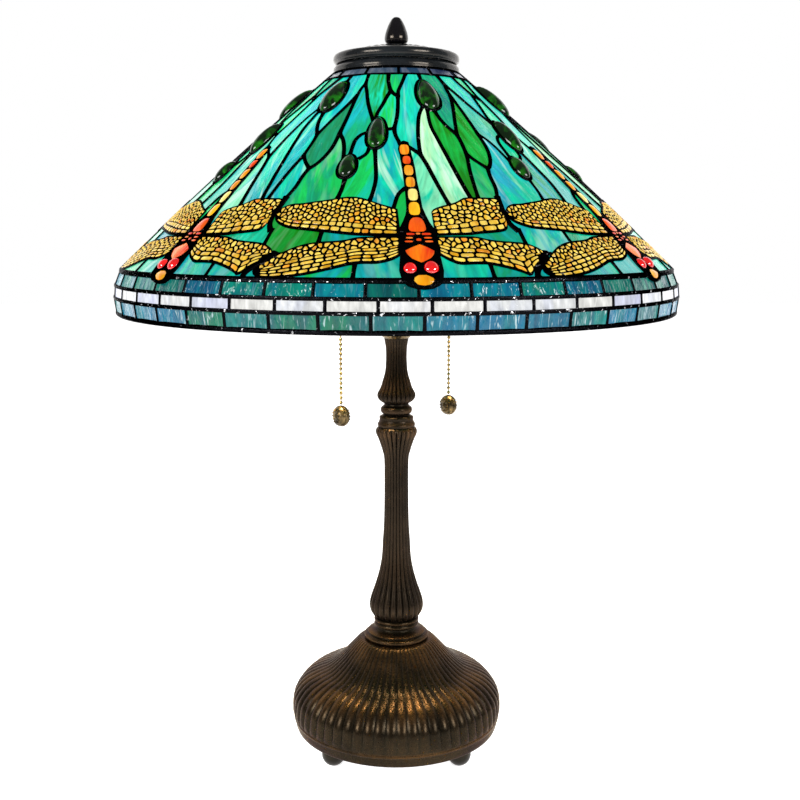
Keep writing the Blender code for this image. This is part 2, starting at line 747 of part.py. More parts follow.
def on_shade(angle, slant, height):
    """A point over the cone: radians from a dragonfly's axis, metres down the side, metres above it."""
    low = [Vector(p) for p in shade_profile()[: SHOULDER + 1]]
    high = [Vector(p) for p in mitred(shade_profile(), height)[: SHOULDER + 1]]
    at = 0
    while at < SHOULDER - 1 and slant > (low[at + 1] - low[at]).length:
        slant -= (low[at + 1] - low[at]).length
        at += 1
    share = slant / (low[at + 1] - low[at]).length
    radius, level = high[at].lerp(high[at + 1], share)
    facet = math.floor(angle / FACET + 1e-9)
    along = angle / FACET - facet
    left = across(SHADE_TURN + facet * FACET) * radius
    right = across(SHADE_TURN + (facet + 1) * FACET) * radius
    return left.lerp(right, along) + Vector((0, 0, level))


def band_slants():
    """How far down the side each bend of the cone lies."""
    points = [Vector(p) for p in shade_profile()[: SHOULDER + 1]]
    total = 0
    slants = []
    for here, there in zip(points, points[1:]):
        total += (there - here).length
        slants.append(total)
    return slants


def overlay_mesh():
    """A dragonfly, cut along the facets' edges so that it lies flat on each, and thickened outwards."""
    slants = band_slants()
    grow = slants[-1] / DRAWN_SLANT
    corners = [Vector((math.radians(a) * DRAWN_RADIUS, s * grow)) for a, s in DRAGONFLY_OUTLINE]
    points = list(corners)
    for step in range(-PIECES_PER_REPEAT, PIECES_PER_REPEAT):
        points += [Vector((step * FACET * DRAWN_RADIUS, end)) for end in (slants[0], slants[-1])]
    reach = PIECES_PER_REPEAT * FACET * DRAWN_RADIUS
    for slant in slants[1:-1]:
        points += [Vector((-reach, slant)), Vector((reach, slant))]
    cuts = [(i, i + 1) for i in range(len(corners), len(points), 2)]
    flat = delaunay_2d_cdt(points, cuts, [list(range(len(corners)))], 1, 1e-6)
    shape = bmesh.new()
    verts = [shape.verts.new((p.x / DRAWN_RADIUS, p.y, 0)) for p in flat[0]]
    for face, owners in zip(flat[2], flat[5]):
        if owners:
            shape.faces.new([verts[i] for i in face])
    bmesh.ops.delete(shape, geom=[v for v in shape.verts if not v.link_faces], context="VERTS")
    made = bmesh.ops.extrude_face_region(shape, geom=shape.faces[:])
    raised = {v for v in made["geom"] if isinstance(v, bmesh.types.BMVert)}
    for vert in shape.verts:
        height = GAP + OVERLAY_THICKNESS if vert in raised else GAP
        vert.co = on_shade(vert.co.x, vert.co.y, height)
    return mesh_from(shape, "dragonfly")


def make_shade(finishes):
    axis = add_empty("shade_axis", Matrix.Identity(4))
    rows = (
        ("border_row", 0, 1, "blue_glass"),
        ("belt_upper", SHOULDER, SHOULDER + 1, "teal_glass"),
        ("belt_white", SHOULDER + 1, SHOULDER + 2, "white_glass"),
        ("belt_lower", SHOULDER + 2, SHOULDER + 3, "teal_glass"),
    )
    for name, first, last, finish in rows:
        mesh = turned_mesh(name, band_outline(first, last), SIDES, SHADE_TURN)
        add_object(name, mesh, finishes[finish], axis)
    panel = band_outline(1, SHOULDER)
    overlay = overlay_mesh()
    for index in range(REPEATS):
        add_object(f"cone_panel_{index + 1}", panel_mesh(index, panel), finishes["teal_glass"], axis)
        turn = Matrix.Rotation(index * FACET * PIECES_PER_REPEAT, 4, "Z")
        add_object(f"dragonfly_{index + 1}", overlay, finishes["amber_glass"], axis, turn)

    radius, edge = shade_profile()[-1]
    outer = radius + (RIM_WIDTH - GLASS_THICKNESS) / 2
    rim = tube_outline(outer - RIM_WIDTH, outer, edge - GAP - RIM_HEIGHT, edge - GAP)
    add_object("rim_came", turned_mesh("rim_came", rim, SIDES, SHADE_TURN), finishes["lead"], axis)
    ring = tube_outline(TOP_RADIUS - RING_WIDTH, TOP_RADIUS, RING_Z, RING_Z + RING_HEIGHT)
    turned("shade_ring", ring, finishes["bronze"], parent=axis)
    return axis


# ---------------------------------------------------------------- riser, support, cap and finial

def make_support(finishes):
    radius = TOP_RADIUS - SUPPORT_INSET
    plate = turned(
        "shade_support", tube_outline(ROD_BORE, radius, SUPPORT_Z, SHADE_Z), finishes["brass"]
    )
    middle = (radius - (RING_WIDTH - SUPPORT_INSET) + ROD_BORE) / 2
    hole = turned_mesh("vent", tube_outline(0, SUPPORT_HOLE_RADIUS, SUPPORT_Z - 0.002, SHADE_Z + 0.002), 12)
    for step in range(SUPPORT_HOLES):
        angle = 2 * math.pi * (step + 0.5) / SUPPORT_HOLES
        place = Matrix.Translation((middle * math.cos(angle), middle * math.sin(angle), 0))
        boolean(plate, helper(f"vent_{step + 1}", hole, place), "DIFFERENCE")
    foot = SUPPORT_Z - GAP - NUT_HEIGHT
    nut = tube_outline(ROD_BORE, ROD_BORE + ROD_NUT_WALL, foot, foot + NUT_HEIGHT)
    turned("riser_nut", nut, finishes["brass"], 12)
    rod_foot = HUB_Z + HUB_HEIGHT - ROD_GRIP
    rod = tube_outline(0, ROD_RADIUS, rod_foot, FINIAL_Z + INSERT_LENGTH - GAP)
    turned("riser_rod", rod, finishes["brass"], 10)


def make_cap(finishes, axis):
    """A thin dome with a turned edge, open below, with a hole for the rod."""
    outside = [(ROD_BORE, CAP_Z + CAP_HEIGHT)]
    outside += [(TOP_RADIUS * out, CAP_Z + CAP_HEIGHT * up) for out, up in CAP_OUTLINE]
    inside = mitred(outside, -CAP_WALL)
    inside[0] = (ROD_BORE, inside[0][1])
    inside[-1] = (inside[-1][0], CAP_Z)
    turned("cap", [*outside, *reversed(inside)], finishes["bronze"], parent=axis)


def make_finial(finishes):
    axis = add_empty("finial_axis", Matrix.Translation((0, 0, FINIAL_Z)))
    outside = [(radius, share * FINIAL_HEIGHT) for radius, share in FINIAL_OUTLINE]
    bore = INSERT_RADIUS + GAP
    blind = [(0, INSERT_LENGTH + GAP), (bore, INSERT_LENGTH + GAP), (bore, 0)]
    turned("finial", [*outside, (0, FINIAL_HEIGHT), *blind], finishes["dark_gloss"], 16, axis)
    insert = tube_outline(ROD_BORE, INSERT_RADIUS, 0, INSERT_LENGTH)
    turned("finial_insert", insert, finishes["brass"], 10, axis)


def main():
    for leftover in list(bpy.data.objects):
        bpy.data.objects.remove(leftover)
    finishes = make_materials()
    make_base(finishes)
    make_feet(finishes)
    make_stem(finishes)
    make_hub(finishes)
    make_sockets(finishes)
    make_pulls(finishes)
    axis = make_shade(finishes)
    make_support(finishes)
    make_cap(finishes, axis)
    make_finial(finishes)


main()
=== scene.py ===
"""Looks of the leaded-glass dragonfly table lamp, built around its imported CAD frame.

The shade is drawn once as one of its seven repeats, in degrees from a dragonfly's axis and
millimetres down the cone's side, then laid on the cone and turned. Everything else is turned work.
"""

import json
import math
import random

import bmesh
import bpy
from mathutils import Matrix, Vector
from mathutils.geometry import delaunay_2d_cdt

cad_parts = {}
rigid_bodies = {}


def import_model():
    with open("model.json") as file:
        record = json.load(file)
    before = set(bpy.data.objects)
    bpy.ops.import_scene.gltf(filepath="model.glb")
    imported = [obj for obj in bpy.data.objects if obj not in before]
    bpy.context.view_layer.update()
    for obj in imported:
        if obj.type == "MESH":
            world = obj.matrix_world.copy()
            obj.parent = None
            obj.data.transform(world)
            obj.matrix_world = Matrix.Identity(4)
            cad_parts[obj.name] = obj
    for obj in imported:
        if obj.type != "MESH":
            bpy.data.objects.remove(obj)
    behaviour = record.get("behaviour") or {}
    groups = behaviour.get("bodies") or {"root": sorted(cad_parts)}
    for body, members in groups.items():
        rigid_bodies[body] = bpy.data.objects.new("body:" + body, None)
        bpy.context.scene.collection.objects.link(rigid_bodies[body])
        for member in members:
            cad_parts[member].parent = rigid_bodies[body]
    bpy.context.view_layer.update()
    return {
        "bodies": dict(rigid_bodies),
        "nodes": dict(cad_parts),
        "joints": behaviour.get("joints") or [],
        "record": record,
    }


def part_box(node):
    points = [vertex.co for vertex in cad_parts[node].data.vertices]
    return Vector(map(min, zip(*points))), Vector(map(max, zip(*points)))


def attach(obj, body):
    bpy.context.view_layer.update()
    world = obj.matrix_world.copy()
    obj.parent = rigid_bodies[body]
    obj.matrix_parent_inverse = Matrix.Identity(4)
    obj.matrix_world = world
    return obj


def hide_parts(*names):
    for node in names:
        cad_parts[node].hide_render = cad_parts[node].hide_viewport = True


MM = 0.001
REPEATS = 7
PERIOD = 360 / REPEATS
SHADE_TURN = 4.15  # degrees from the front towards +X, where a dragonfly's axis lies
TOP_RADIUS = 0.0563
SHOULDER_RADIUS = 0.2476
CONE_DROP = 0.1717
CONE_CROWN = 0.0039
ROUNDING = 0.9986  # a round cone half way between the corners and the middles of the CAD's facets
DRAWN_SLANT = 257.1  # millimetres
MM_PER_DEGREE = 3.6  # round the cone, where the wings are
GLASS = 2.8  # thickness of the glass, in millimetres
BELT_TILES = 42
BORDER_TILES = 14
LINE_WIDTH = 3.5  # of the lead lines, in millimetres
JEWEL_RING_WIDTH = 3.0
SEAM_WIDTH = 5.0
WING_BORDER = 1.7  # lead round a wing's cells, in millimetres
WING_LENGTH = 90.0
RIM_RADIUS = 0.0021
FLOW_PER_DEGREE = 0.003
SOCKET_AZIMUTH = math.radians(32)
SOCKET_TILT = math.radians(20)
SHELL_FOOT = 0.0183
SHELL_LENGTH = 0.042
SHELL_OUTER = 0.0165
SHELL_BORE = 0.0153
SCREW_FOOT = 0.0346
SCREW_LENGTH = 0.025
BULB_RADIUS = 0.030
BASE_INNER = 0.030
BASE_OUTER = 0.1012
BASE_BORE = 0.0053
STEM_BORE = 0.0052
CAP_BORE = 0.0034
CHAIN_BALLS = 18
CHAIN_RADIUS = 0.00165
FOB_HALF = 0.0070  # half the thickness of a pull's disc
FLOOR_HALF = 6.0
JOIN = 1e-7  # points closer than this are one
ATTRIBUTE_KINDS = {1: ("FLOAT", "value"), 3: ("FLOAT_VECTOR", "vector"), 4: ("FLOAT_COLOR", "color")}


def srgb(red, green, blue):
    """A display colour, 0 to 255, as linear values."""
    values = []
    for value in (red, green, blue):
        share = value / 255
        values.append(share / 12.92 if share <= 0.04045 else ((share + 0.055) / 1.055) ** 2.4)
    return tuple(values)


# ---------------------------------------------------------------- the drawn repeat

# Lead lines of one repeat, each a run of (degrees from the axis, millimetres down the side)
LEAD_LINES = (
    ((-24.6, 12), (-23.5, 27)),
    ((-23.5, 27), (-20.7, 38), (-18, 53), (-15.2, 68), (-13.2, 79)),
    ((-23.5, 27), (-25, 35), (-25.1, 50), (-24.8, 72), (-24.8, 94)),
    ((-25.3, 42), (-27.7, 55), (-30.7, 72), (-32.4, 84), (-33.7, 95)),
    ((17.7, 95.5), (17.9, 104), (17.7, 120.5)),
    ((17.7, 120.5), (19.5, 128), (22.2, 137)),
    ((17.7, 120.5), (16.3, 139), (15.6, 156), (15.2, 172)),
    ((22.2, 137), (21.5, 147), (21.2, 160), (19.9, 174.5)),
    ((-24.8, 94), (-25, 111), (-26.2, 124), (-27.8, 133), (-29.2, 137)),
    ((-24.8, 94), (-22.5, 102), (-21, 112), (-20.4, 119), (-19.7, 127.5)),
    ((-13.9, 94), (-16.2, 96), (-17.9, 103), (-18.2, 112), (-18.2, 122)),
    ((-12.6, 113), (-13.2, 121), (-15.3, 127)),
    ((-10.8, 116), (-10.2, 128), (-9.4, 150), (-9.8, 167), (-10.3, 176)),
    ((-17.5, 151), (-17.5, 162), (-17.9, 173)),
    ((-9.8, 12), (-9.4, 22), (-7.9, 33), (-7.2, 37.5)),
    ((-7.2, 37.5), (-8.9, 45), (-10.6, 57), (-12.2, 68), (-12.4, 75.5)),
    ((2.7, 12), (1.3, 17), (-1.2, 28), (-3, 37), (-3.3, 45)),
    ((-7.2, 37.5), (-5.3, 42), (-3.3, 45)),
    ((-3.3, 45), (-3.5, 60), (-3.9, 73), (-5, 89)),
    ((-7.6, 90), (-5, 89)),
    ((-5, 89), (-4.5, 97), (-3.3, 106), (-2.8, 110)),
    ((-2.5, 107), (-0.3, 112), (3, 121)),
    ((8, 59), (5.5, 70), (4.2, 83), (3.3, 100), (3, 121)),
    ((3, 121), (4.4, 134), (5.6, 150), (7.7, 180)),
    ((9.5, 62), (8.8, 84), (9.8, 102), (11.2, 126), (13, 165), (13.5, 174)),
    ((12.8, 65), (13.9, 77), (15.7, 87), (17.7, 95.5)),
    ((-2.0, 161), (-3.7, 168), (-4.6, 180), (-4.9, 186)),
    ((-19, 208), (-19, 219)),
    ((21.4, 205), (21.3, 223)),
    ((-11.3, 240), (-11.3, 255.5)),
    ((12.3, 241), (12.3, 255.5)),
    ((12.2, 12), (12.2, 24)),
    ((18.8, 189.5), (20.5, 189.5)),
    ((23.6, 231), (25.8, 231.6)),
)
# Broad seams of solder where one dragonfly's wings meet the next one's
SOLDER_SEAMS = (
    ((20.3, 170), (20.1, 178), (19.75, 190), (20.0, 200), (21.2, 208)),
    ((24.6, 229), (24.1, 235), (22.9, 240), (21.1, 247), (20.4, 253), (20.6, 256)),
)
TOP_LINE = 12.0
BOTTOM_LINE = 255.5
CABOCHONS = ((-11.0, 95.0, 7.0, 19.0), (-17.8, 136.0, 6.3, 13.0), (12.2, 43.0, 8.5, 20.5))

# Each wing: upper edge and lower edge from the root to the tip, and where its long cells begin
WINGS = (
    (
        ((-3.9, 185), (-4.7, 183.5), (-7.3, 180), (-10, 175.7), (-12.3, 172.4), (-14.7, 171.4),
         (-17.3, 172.4), (-19.7, 174.5), (-23, 176.5), (-26, 178.4), (-28.4, 179), (-30.4, 183),
         (-31.1, 189)),
        ((-3.3, 213), (-11, 212.4), (-15.3, 210.6), (-19, 208.6), (-22.3, 207), (-26.3, 205), (-29, 201),
         (-30.6, 196), (-31.1, 190)),
        0.70,
        2,
    ),
    (
        ((-3.3, 213.6), (-11, 214.2), (-13.3, 216.7), (-15.3, 218.2), (-19, 219.4), (-21.7, 222),
         (-23.7, 225.7), (-26.0, 232.2), (-26.9, 236), (-28.1, 240.3), (-29.4, 246.5)),
        ((-3.3, 231.8), (-4.7, 236.5), (-7.3, 240.3), (-10, 240.5), (-12.3, 241.8), (-15.3, 246.3),
         (-18, 250.1), (-20.7, 253.2), (-23, 254.8), (-25.7, 256), (-27.8, 255.4), (-29.3, 251.6),
         (-29.6, 247.2)),
        0.42,
        4,
    ),
    (
        ((3.3, 188), (3.9, 185), (5.7, 181.8), (8, 179.2), (9.7, 176.5), (11.3, 172.8), (13.3, 172),
         (17.7, 172.2), (19.7, 173.2), (19.3, 181), (19.0, 189)),
        ((3.3, 213), (10.3, 212), (12, 210.8), (16, 209.2), (18.4, 207), (19.2, 201), (19.0, 190)),
        0.66,
        2,
    ),
    (
        ((3.3, 213.6), (10.8, 213.9), (13.3, 216.7), (16, 218.6), (19, 219.7), (21.3, 221.2),
         (22.7, 224.2), (23.7, 227.2), (24.1, 230.7)),
        ((3.3, 231), (4.3, 234.9), (5.5, 238.6), (7, 241.5), (9.3, 241.3), (12, 241.5), (13.7, 243.4),
         (16, 246.5), (18, 250.3), (19.1, 253.4), (20.1, 248.8), (20.9, 244.5), (22.5, 239.5),
         (23.6, 235), (24.0, 231.5)),
        0.42,
        3,
    ),
)

BODY_OUTLINE = (
    (-1.8, 106), (-3.3, 108), (-3.7, 116), (-3.2, 122.5), (-3.0, 129), (-2.6, 141), (-2.3, 155),
    (-2.1, 169), (-2.0, 184), (-2.3, 192), (-2.9, 199), (-3.5, 205), (-3.5, 222), (-3.5, 231),
    (-3.6, 238), (-3.7, 247), (-3.2, 256.9), (-2.3, 260.6), (-1.0, 262.6), (0.4, 263.4), (1.9, 262.4),
    (2.9, 260.2), (3.5, 256.9), (3.8, 248), (3.7, 240), (3.6, 233), (3.5, 229), (3.5, 213), (3.4, 207),
    (2.6, 200), (2.0, 192), (1.5, 184), (1.3, 169), (1.0, 155), (0.9, 141), (0.6, 129), (0.3, 122.5),
    (0.2, 116), (-0.3, 108),
)
# Tail segments: centre, half-width in degrees at the upper and lower end, half-length, colour
SEGMENTS = (
    (-1.75, 117.0, 1.5, 1.35, 6.4, "yellow"),
    (-1.25, 129.6, 1.1, 1.15, 5.0, "red"),
    (-0.9, 141.8, 1.2, 1.2, 6.2, "amber"),
    (-0.7, 155.4, 1.1, 1.15, 6.0, "streaked"),
    (-0.35, 169.6, 1.15, 1.1, 6.8, "pale"),
    (-0.3, 184.8, 1.15, 1.25, 7.3, "amber"),
    (-0.05, 201.8, 1.15, 2.1, 7.8, "red"),
)
SHIELD = (
    (0.1, 221.9), (1.4, 224.6), (2.7, 228.6), (2.5, 232.2), (1.9, 235.8), (0.2, 240.4), (-1.4, 236.4),
    (-2.2, 232.2), (-2.6, 228.2), (-1.3, 224.8),
)
MOUTH = (
    (-0.5, 252.0), (0.9, 252.0), (1.95, 255.0), (2.0, 257.0), (1.5, 259.6), (0.4, 260.6), (-0.7, 259.8),
    (-1.3, 257.0), (-1.2, 254.4),
)
EYES = ((-1.85, 245.4, 5.4), (1.75, 244.8, 6.0))
THORAX_CELLS = (
    (-1.45, 211.6, 0.85, 1.3), (0, 211.2, 0.45, 1.2), (1.6, 211.6, 0.95, 1.3), (-1.7, 215.5, 0.7, 1.0),
    (1.8, 215.5, 0.8, 1.0), (0.05, 217.4, 0.5, 1.5), (-1.85, 219.2, 0.8, 1.1), (1.95, 219.2, 0.8, 1.1),
)

AMBERS = {
    "yellow": (srgb(252, 190, 10), srgb(246, 130, 10)),
    "amber": (srgb(250, 150, 0), srgb(255, 200, 30)),
    "red": (srgb(226, 48, 4), srgb(248, 96, 6)),
    "pale": (srgb(255, 232, 130), srgb(246, 180, 40)),
    "streaked": (srgb(250, 170, 20), srgb(224, 56, 8)),
    "flame": (srgb(252, 128, 4), srgb(224, 50, 4)),
}
TURQUOISE = srgb(0, 166, 172)
AQUA = srgb(0, 200, 160)
SEA = srgb(0, 158, 108)
GREEN = srgb(0, 172, 62)
GRASS = srgb(6, 190, 84)
LEAF = srgb(8, 128, 8)
MINT = srgb(120, 226, 176)
PALE = srgb(176, 232, 176)
TEAL = srgb(0, 122, 112)
BLUE = srgb(0, 130, 156)
# Where each piece of background glass lies, its two colours and how much pale wisp runs through it
PIECE_COLOURS = (
    (-19.5, 50, SEA, TURQUOISE, 0.0),
    (-14, 45, LEAF, AQUA, 0.0),
    (-4.5, 24, SEA, GRASS, 0.0),
    (2, 59, TURQUOISE, AQUA, 0.15),
    (-7.2, 64, AQUA, GRASS, 0.1),
    (20, 43, SEA, TEAL, 0.0),
    (-29, 90, TURQUOISE, GRASS, 0.1),
    (13.4, 111, GREEN, LEAF, 0.0),
    (-15.7, 112, TURQUOISE, AQUA, 0.0),
    (-21.5, 112, TURQUOISE, SEA, 0.0),
    (7.8, 123, PALE, MINT, 0.9),
    (-6.3, 138, AQUA, TURQUOISE, 0.8),
    (-24.3, 148, GRASS, SEA, 0.15),
    (-13.1, 148, GRASS, AQUA, 0.0),
    (18.6, 151, SEA, GRASS, 0.1),
    (3.3, 157, MINT, AQUA, 0.3),
    (-3.1, 181, GREEN, GRASS, 0.0),
    (16.8, 211, SEA, TURQUOISE, 0.0),
    (-14.7, 214, TURQUOISE, SEA, 0.0),
    (-25.7, 214, GREEN, LEAF, 0.1),
    (-29, 246, SEA, TURQUOISE, 0.0),
    (-6.9, 247, AQUA, TURQUOISE, 0.2),
    (7.6, 248, TURQUOISE, AQUA, 0.1),
    (16.5, 249, TURQUOISE, SEA, 0.0),
    (-15.1, 251, TURQUOISE, GRASS, 0.0),
)
# The same for some pieces of the repeats beside the front one, by their place round the shade
SIDE_COLOURS = {
    1: (
        (-24.3, 148, srgb(30, 168, 188), AQUA, 0.5),
        (-29, 90, TEAL, TURQUOISE, 0.0),
        (-19.5, 50, srgb(0, 216, 96), SEA, 0.0),
        (-21.5, 112, TURQUOISE, AQUA, 0.1),
        (-25.7, 214, AQUA, srgb(30, 168, 188), 0.4),
        (-29, 246, srgb(30, 168, 188), SEA, 0.1),
        (-14, 45, TURQUOISE, AQUA, 0.1),
        (-15.7, 112, AQUA, GRASS, 0.0),
        (-13.1, 148, TURQUOISE, SEA, 0.2),
        (-14.7, 214, AQUA, SEA, 0.1),
        (-15.1, 251, TURQUOISE, AQUA, 0.1),
    ),
    6: (
        (7.8, 123, AQUA, TURQUOISE, 0.6),
        (13.4, 111, TURQUOISE, AQUA, 0.3),
        (18.6, 151, AQUA, TURQUOISE, 0.3),
        (20, 43, TURQUOISE, AQUA, 0.1),
        (3.3, 157, MINT, TURQUOISE, 0.6),
        (16.8, 211, SEA, AQUA, 0.0),
        (16.5, 249, AQUA, TURQUOISE, 0.2),
        (7.6, 248, TURQUOISE, AQUA, 0.1),
        (2, 59, TURQUOISE, AQUA, 0.2),
    ),
}


# ---------------------------------------------------------------- placing on the cone

def cone_table(steps=240):
    """Pairs of (millimetres down the side, share of the way) along the cone's crowned side."""
    table = [(0.0, 0.0)]
    for step in range(1, steps + 1):
        here, before = cone_at(step / steps), cone_at((step - 1) / steps)
        table.append((table[-1][0] + math.dist(here, before), step / steps))
    total = table[-1][0]
    return [(length * DRAWN_SLANT / total, share) for length, share in table]


def cone_at(share):
    """(radius, height) in metres at a share of the way from the cone's top edge to its shoulder."""
    radius = TOP_RADIUS + (SHOULDER_RADIUS - TOP_RADIUS) * share
    return radius, SHADE_Z - CONE_DROP * share + 4 * CONE_CROWN * share * (1 - share)


def cone_share(slant):
    """The share of the way down the cone's side at so many drawn millimetres."""
    index = min(max(int(slant / DRAWN_SLANT * 240), 0), 239)
    while index > 0 and CONE_TABLE[index][0] > slant:
        index -= 1
    while index < 239 and CONE_TABLE[index + 1][0] < slant:
        index += 1
    (low, start), (high, end) = CONE_TABLE[index], CONE_TABLE[index + 1]
    return start + (end - start) * (slant - low) / (high - low)


def direction(degrees):
    """Unit vector at an angle from the front towards +X."""
    angle = math.radians(degrees)
    return Vector((math.sin(angle), -math.cos(angle), 0))


def past_shoulder(degrees, over, height):
    """A point over the belt's first row, millimetres down from the shoulder and above the glass."""
    (top_r, top_z), (low_r, low_z) = BELT[0], BELT[1]
    slope = Vector((low_r - top_r, low_z - top_z)).normalized()
    radius = top_r + (slope.x * over - slope.y * height) * MM
    level = top_z + (slope.y * over + slope.x * height) * MM
    return direction(SHADE_TURN + degrees) * radius + Vector((0, 0, level))


def on_cone(degrees, slant, height=0.0):
    """A point over the cone, from the drawing's degrees and millimetres and millimetres above it."""
    if slant > DRAWN_SLANT:
        return past_shoulder(degrees, slant - DRAWN_SLANT, height)
    share = cone_share(slant)
    radius, level = cone_at(share)
    slope_r = SHOULDER_RADIUS - TOP_RADIUS
    slope_z = -CONE_DROP + 4 * CONE_CROWN * (1 - 2 * share)
    length = math.hypot(slope_r, slope_z)
    out, up = -slope_z / length, slope_r / length
    radius = radius * ROUNDING + out * height * MM
    return direction(SHADE_TURN + degrees) * radius + Vector((0, 0, level + up * height * MM))


def belt_rows():
    """The belt's rings from the shoulder down, (radius, height), drawn in a little for its seams."""
    radius, level = cone_at(1)
    rings = [(radius - 0.0009, level)]
    for out, down, inset in ((0.0050, 0.0121, 0.0011), (0.0014, 0.0103, 0.0016), (-0.0021, 0.0130, 0.0011)):
        radius, level = radius + out, level - down
        rings.append((radius - inset, level))
    return rings


# ---------------------------------------------------------------- gathering meshes

def face_outwards(mesh, join=0.0):
    """Turns the faces outwards, after joining the points that are closer than join."""
    shape = bmesh.new()
    shape.from_mesh(mesh)
    if join:
        bmesh.ops.remove_doubles(shape, verts=shape.verts, dist=join)
    bmesh.ops.recalc_face_normals(shape, faces=shape.faces)
    shape.to_mesh(mesh)
    shape.free()
    mesh.update()


def clean_turning(made, sharp):
    """Joins the points that meet on the axis and marks the sharp edges again."""
    face_outwards(made.data, JOIN)
    made.data.set_sharp_from_angle(angle=math.radians(sharp))


class Build:
    """Points and faces of one piece, with values that its material reads."""

    def __init__(self):
        self.points = []
        self.faces = []
        self.values = {}

    def add(self, points, faces, **values):
        start = len(self.points)
        self.points.extend(points)
        self.faces.extend([tuple(i + start for i in face) for face in faces])
        for name, value in values.items():
            rows = value if isinstance(value, list) else [value] * len(points)
            self.values.setdefault(name, []).extend(rows)

    def make_mesh(self, name, material, sharp):
        mesh = bpy.data.meshes.new(name)
        mesh.from_pydata([tuple(p) for p in self.points], [], self.faces)
        face_outwards(mesh)
        for key, rows in self.values.items():
            width = len(rows[0]) if isinstance(rows[0], (tuple, list)) else 1
            kind, field = ATTRIBUTE_KINDS[width]
            layer = mesh.attributes.new(key, kind, "POINT")
            layer.data.foreach_set(field, rows if width == 1 else [x for row in rows for x in row])
        mesh.materials.append(material)
        mesh.shade_smooth()
        mesh.set_sharp_from_angle(angle=math.radians(sharp))
        return mesh

    def finish(self, name, material, body, nodes=(), slot=None, sharp=40, mesh=None, matrix=None):
        """Makes the object, from a copy of mesh if given, rides it on its body and hides the CAD pieces it
        replaces.
        """
        if mesh is None:
            mesh = self.make_mesh(name, material, sharp)
        else:
            mesh = mesh.copy()
            mesh.name = name
        if matrix is not None:
            mesh.transform(matrix)
        made = bpy.data.objects.new(name, mesh)
        bpy.context.scene.collection.objects.link(made)
        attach(made, body)
        if nodes:
            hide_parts(*nodes)
        return made


def opaque(colour):
    return (*colour, 1.0)


def blend_colours(a, b, share):
    return tuple(x + (y - x) * share for x, y in zip(a, b))


def catmull(points, step, closed=False):
    """Points of a smooth curve through tuples of numbers."""
    points = [Vector(p) for p in points]
    if closed:
        ring = [points[-1], *points, points[0], points[1]]
    else:
        ring = [points[0] * 2 - points[1], *points, points[-1] * 2 - points[-2]]
    curve = []
    for a, b, c, d in zip(ring, ring[1:], ring[2:], ring[3:]):
        for i in range(step):
            t = i / step
            curve.append(0.5 * (2 * b + (c - a) * t + (2 * a - 5 * b + 4 * c - d) * t * t
                                + (3 * b - a - 3 * c + d) * t ** 3))
    return curve if closed else [*curve, points[-1]]


def spaced(points, pitch):
    """A polyline's points at an even spacing, in whatever plane it lies."""
    lengths = [0.0]
    for a, b in zip(points, points[1:]):
        lengths.append(lengths[-1] + (b - a).length)
    count = max(1, round(lengths[-1] / pitch))
    made, at = [], 0
    for step in range(count + 1):
        wanted = lengths[-1] * step / count
        while at < len(points) - 2 and lengths[at + 1] < wanted:
            at += 1
        span = lengths[at + 1] - lengths[at]
        share = (wanted - lengths[at]) / span if span else 0
        made.append(points[at].lerp(points[at + 1], share))
    return made


def flat(points):
    """The drawing's degrees and millimetres as millimetres both ways, near the wings."""
    return [Vector((a * MM_PER_DEGREE, s)) for a, s in points]


def drawn(point):
    """The degrees and millimetres of a point that flat made."""
    return point.x / MM_PER_DEGREE, point.y


def around(items):
    """Each item with the one after it, the last with the first."""
    return zip(items, [*items[1:], items[0]])


def inside(point, outline):
    """Whether a point of the drawing lies within an outline."""
    hit = False
    for (ax, ay), (bx, by) in around(outline):
        if (ay > point[1]) != (by > point[1]):
            if point[0] < ax + (point[1] - ay) / (by - ay) * (bx - ax):
                hit = not hit
    return hit


def area(points):
    return sum(a.x * b.y - b.x * a.y for a, b in around(points)) / 2


def ring_faces(count, sides, closed):
    """Faces that join each ring of points to the next, and the last to the first if closed."""
    faces = []
    for i in range(count if closed else count - 1):
        j = (i + 1) % count
        for k in range(sides):
            m = (k + 1) % sides
            faces.append((i * sides + k, i * sides + m, j * sides + m, j * sides + k))
    return faces


def sheet_faces(faces, count):
    """Faces of a closed sheet: its front, its back, count points on, and walls along its open edges."""
    made = [tuple(face) for face in faces]
    made += [tuple(i + count for i in (face[0], *face[:0:-1])) for face in faces]
    edges = dict.fromkeys(pair for face in faces for pair in around(face))
    made += [(b, a, a + count, b + count) for a, b in edges if (b, a) not in edges]
    return made


def grid_sheet(columns, rows):
    """Faces of a closed sheet whose front and back are grids of points, row by row."""
    wide = columns + 1
    faces = []
    for row in range(rows):
        for column in range(columns):
            a = row * wide + column
            faces.append((a, a + wide, a + wide + 1, a + 1))
    return sheet_faces(faces, wide * (rows + 1))


# ---------------------------------------------------------------- materials

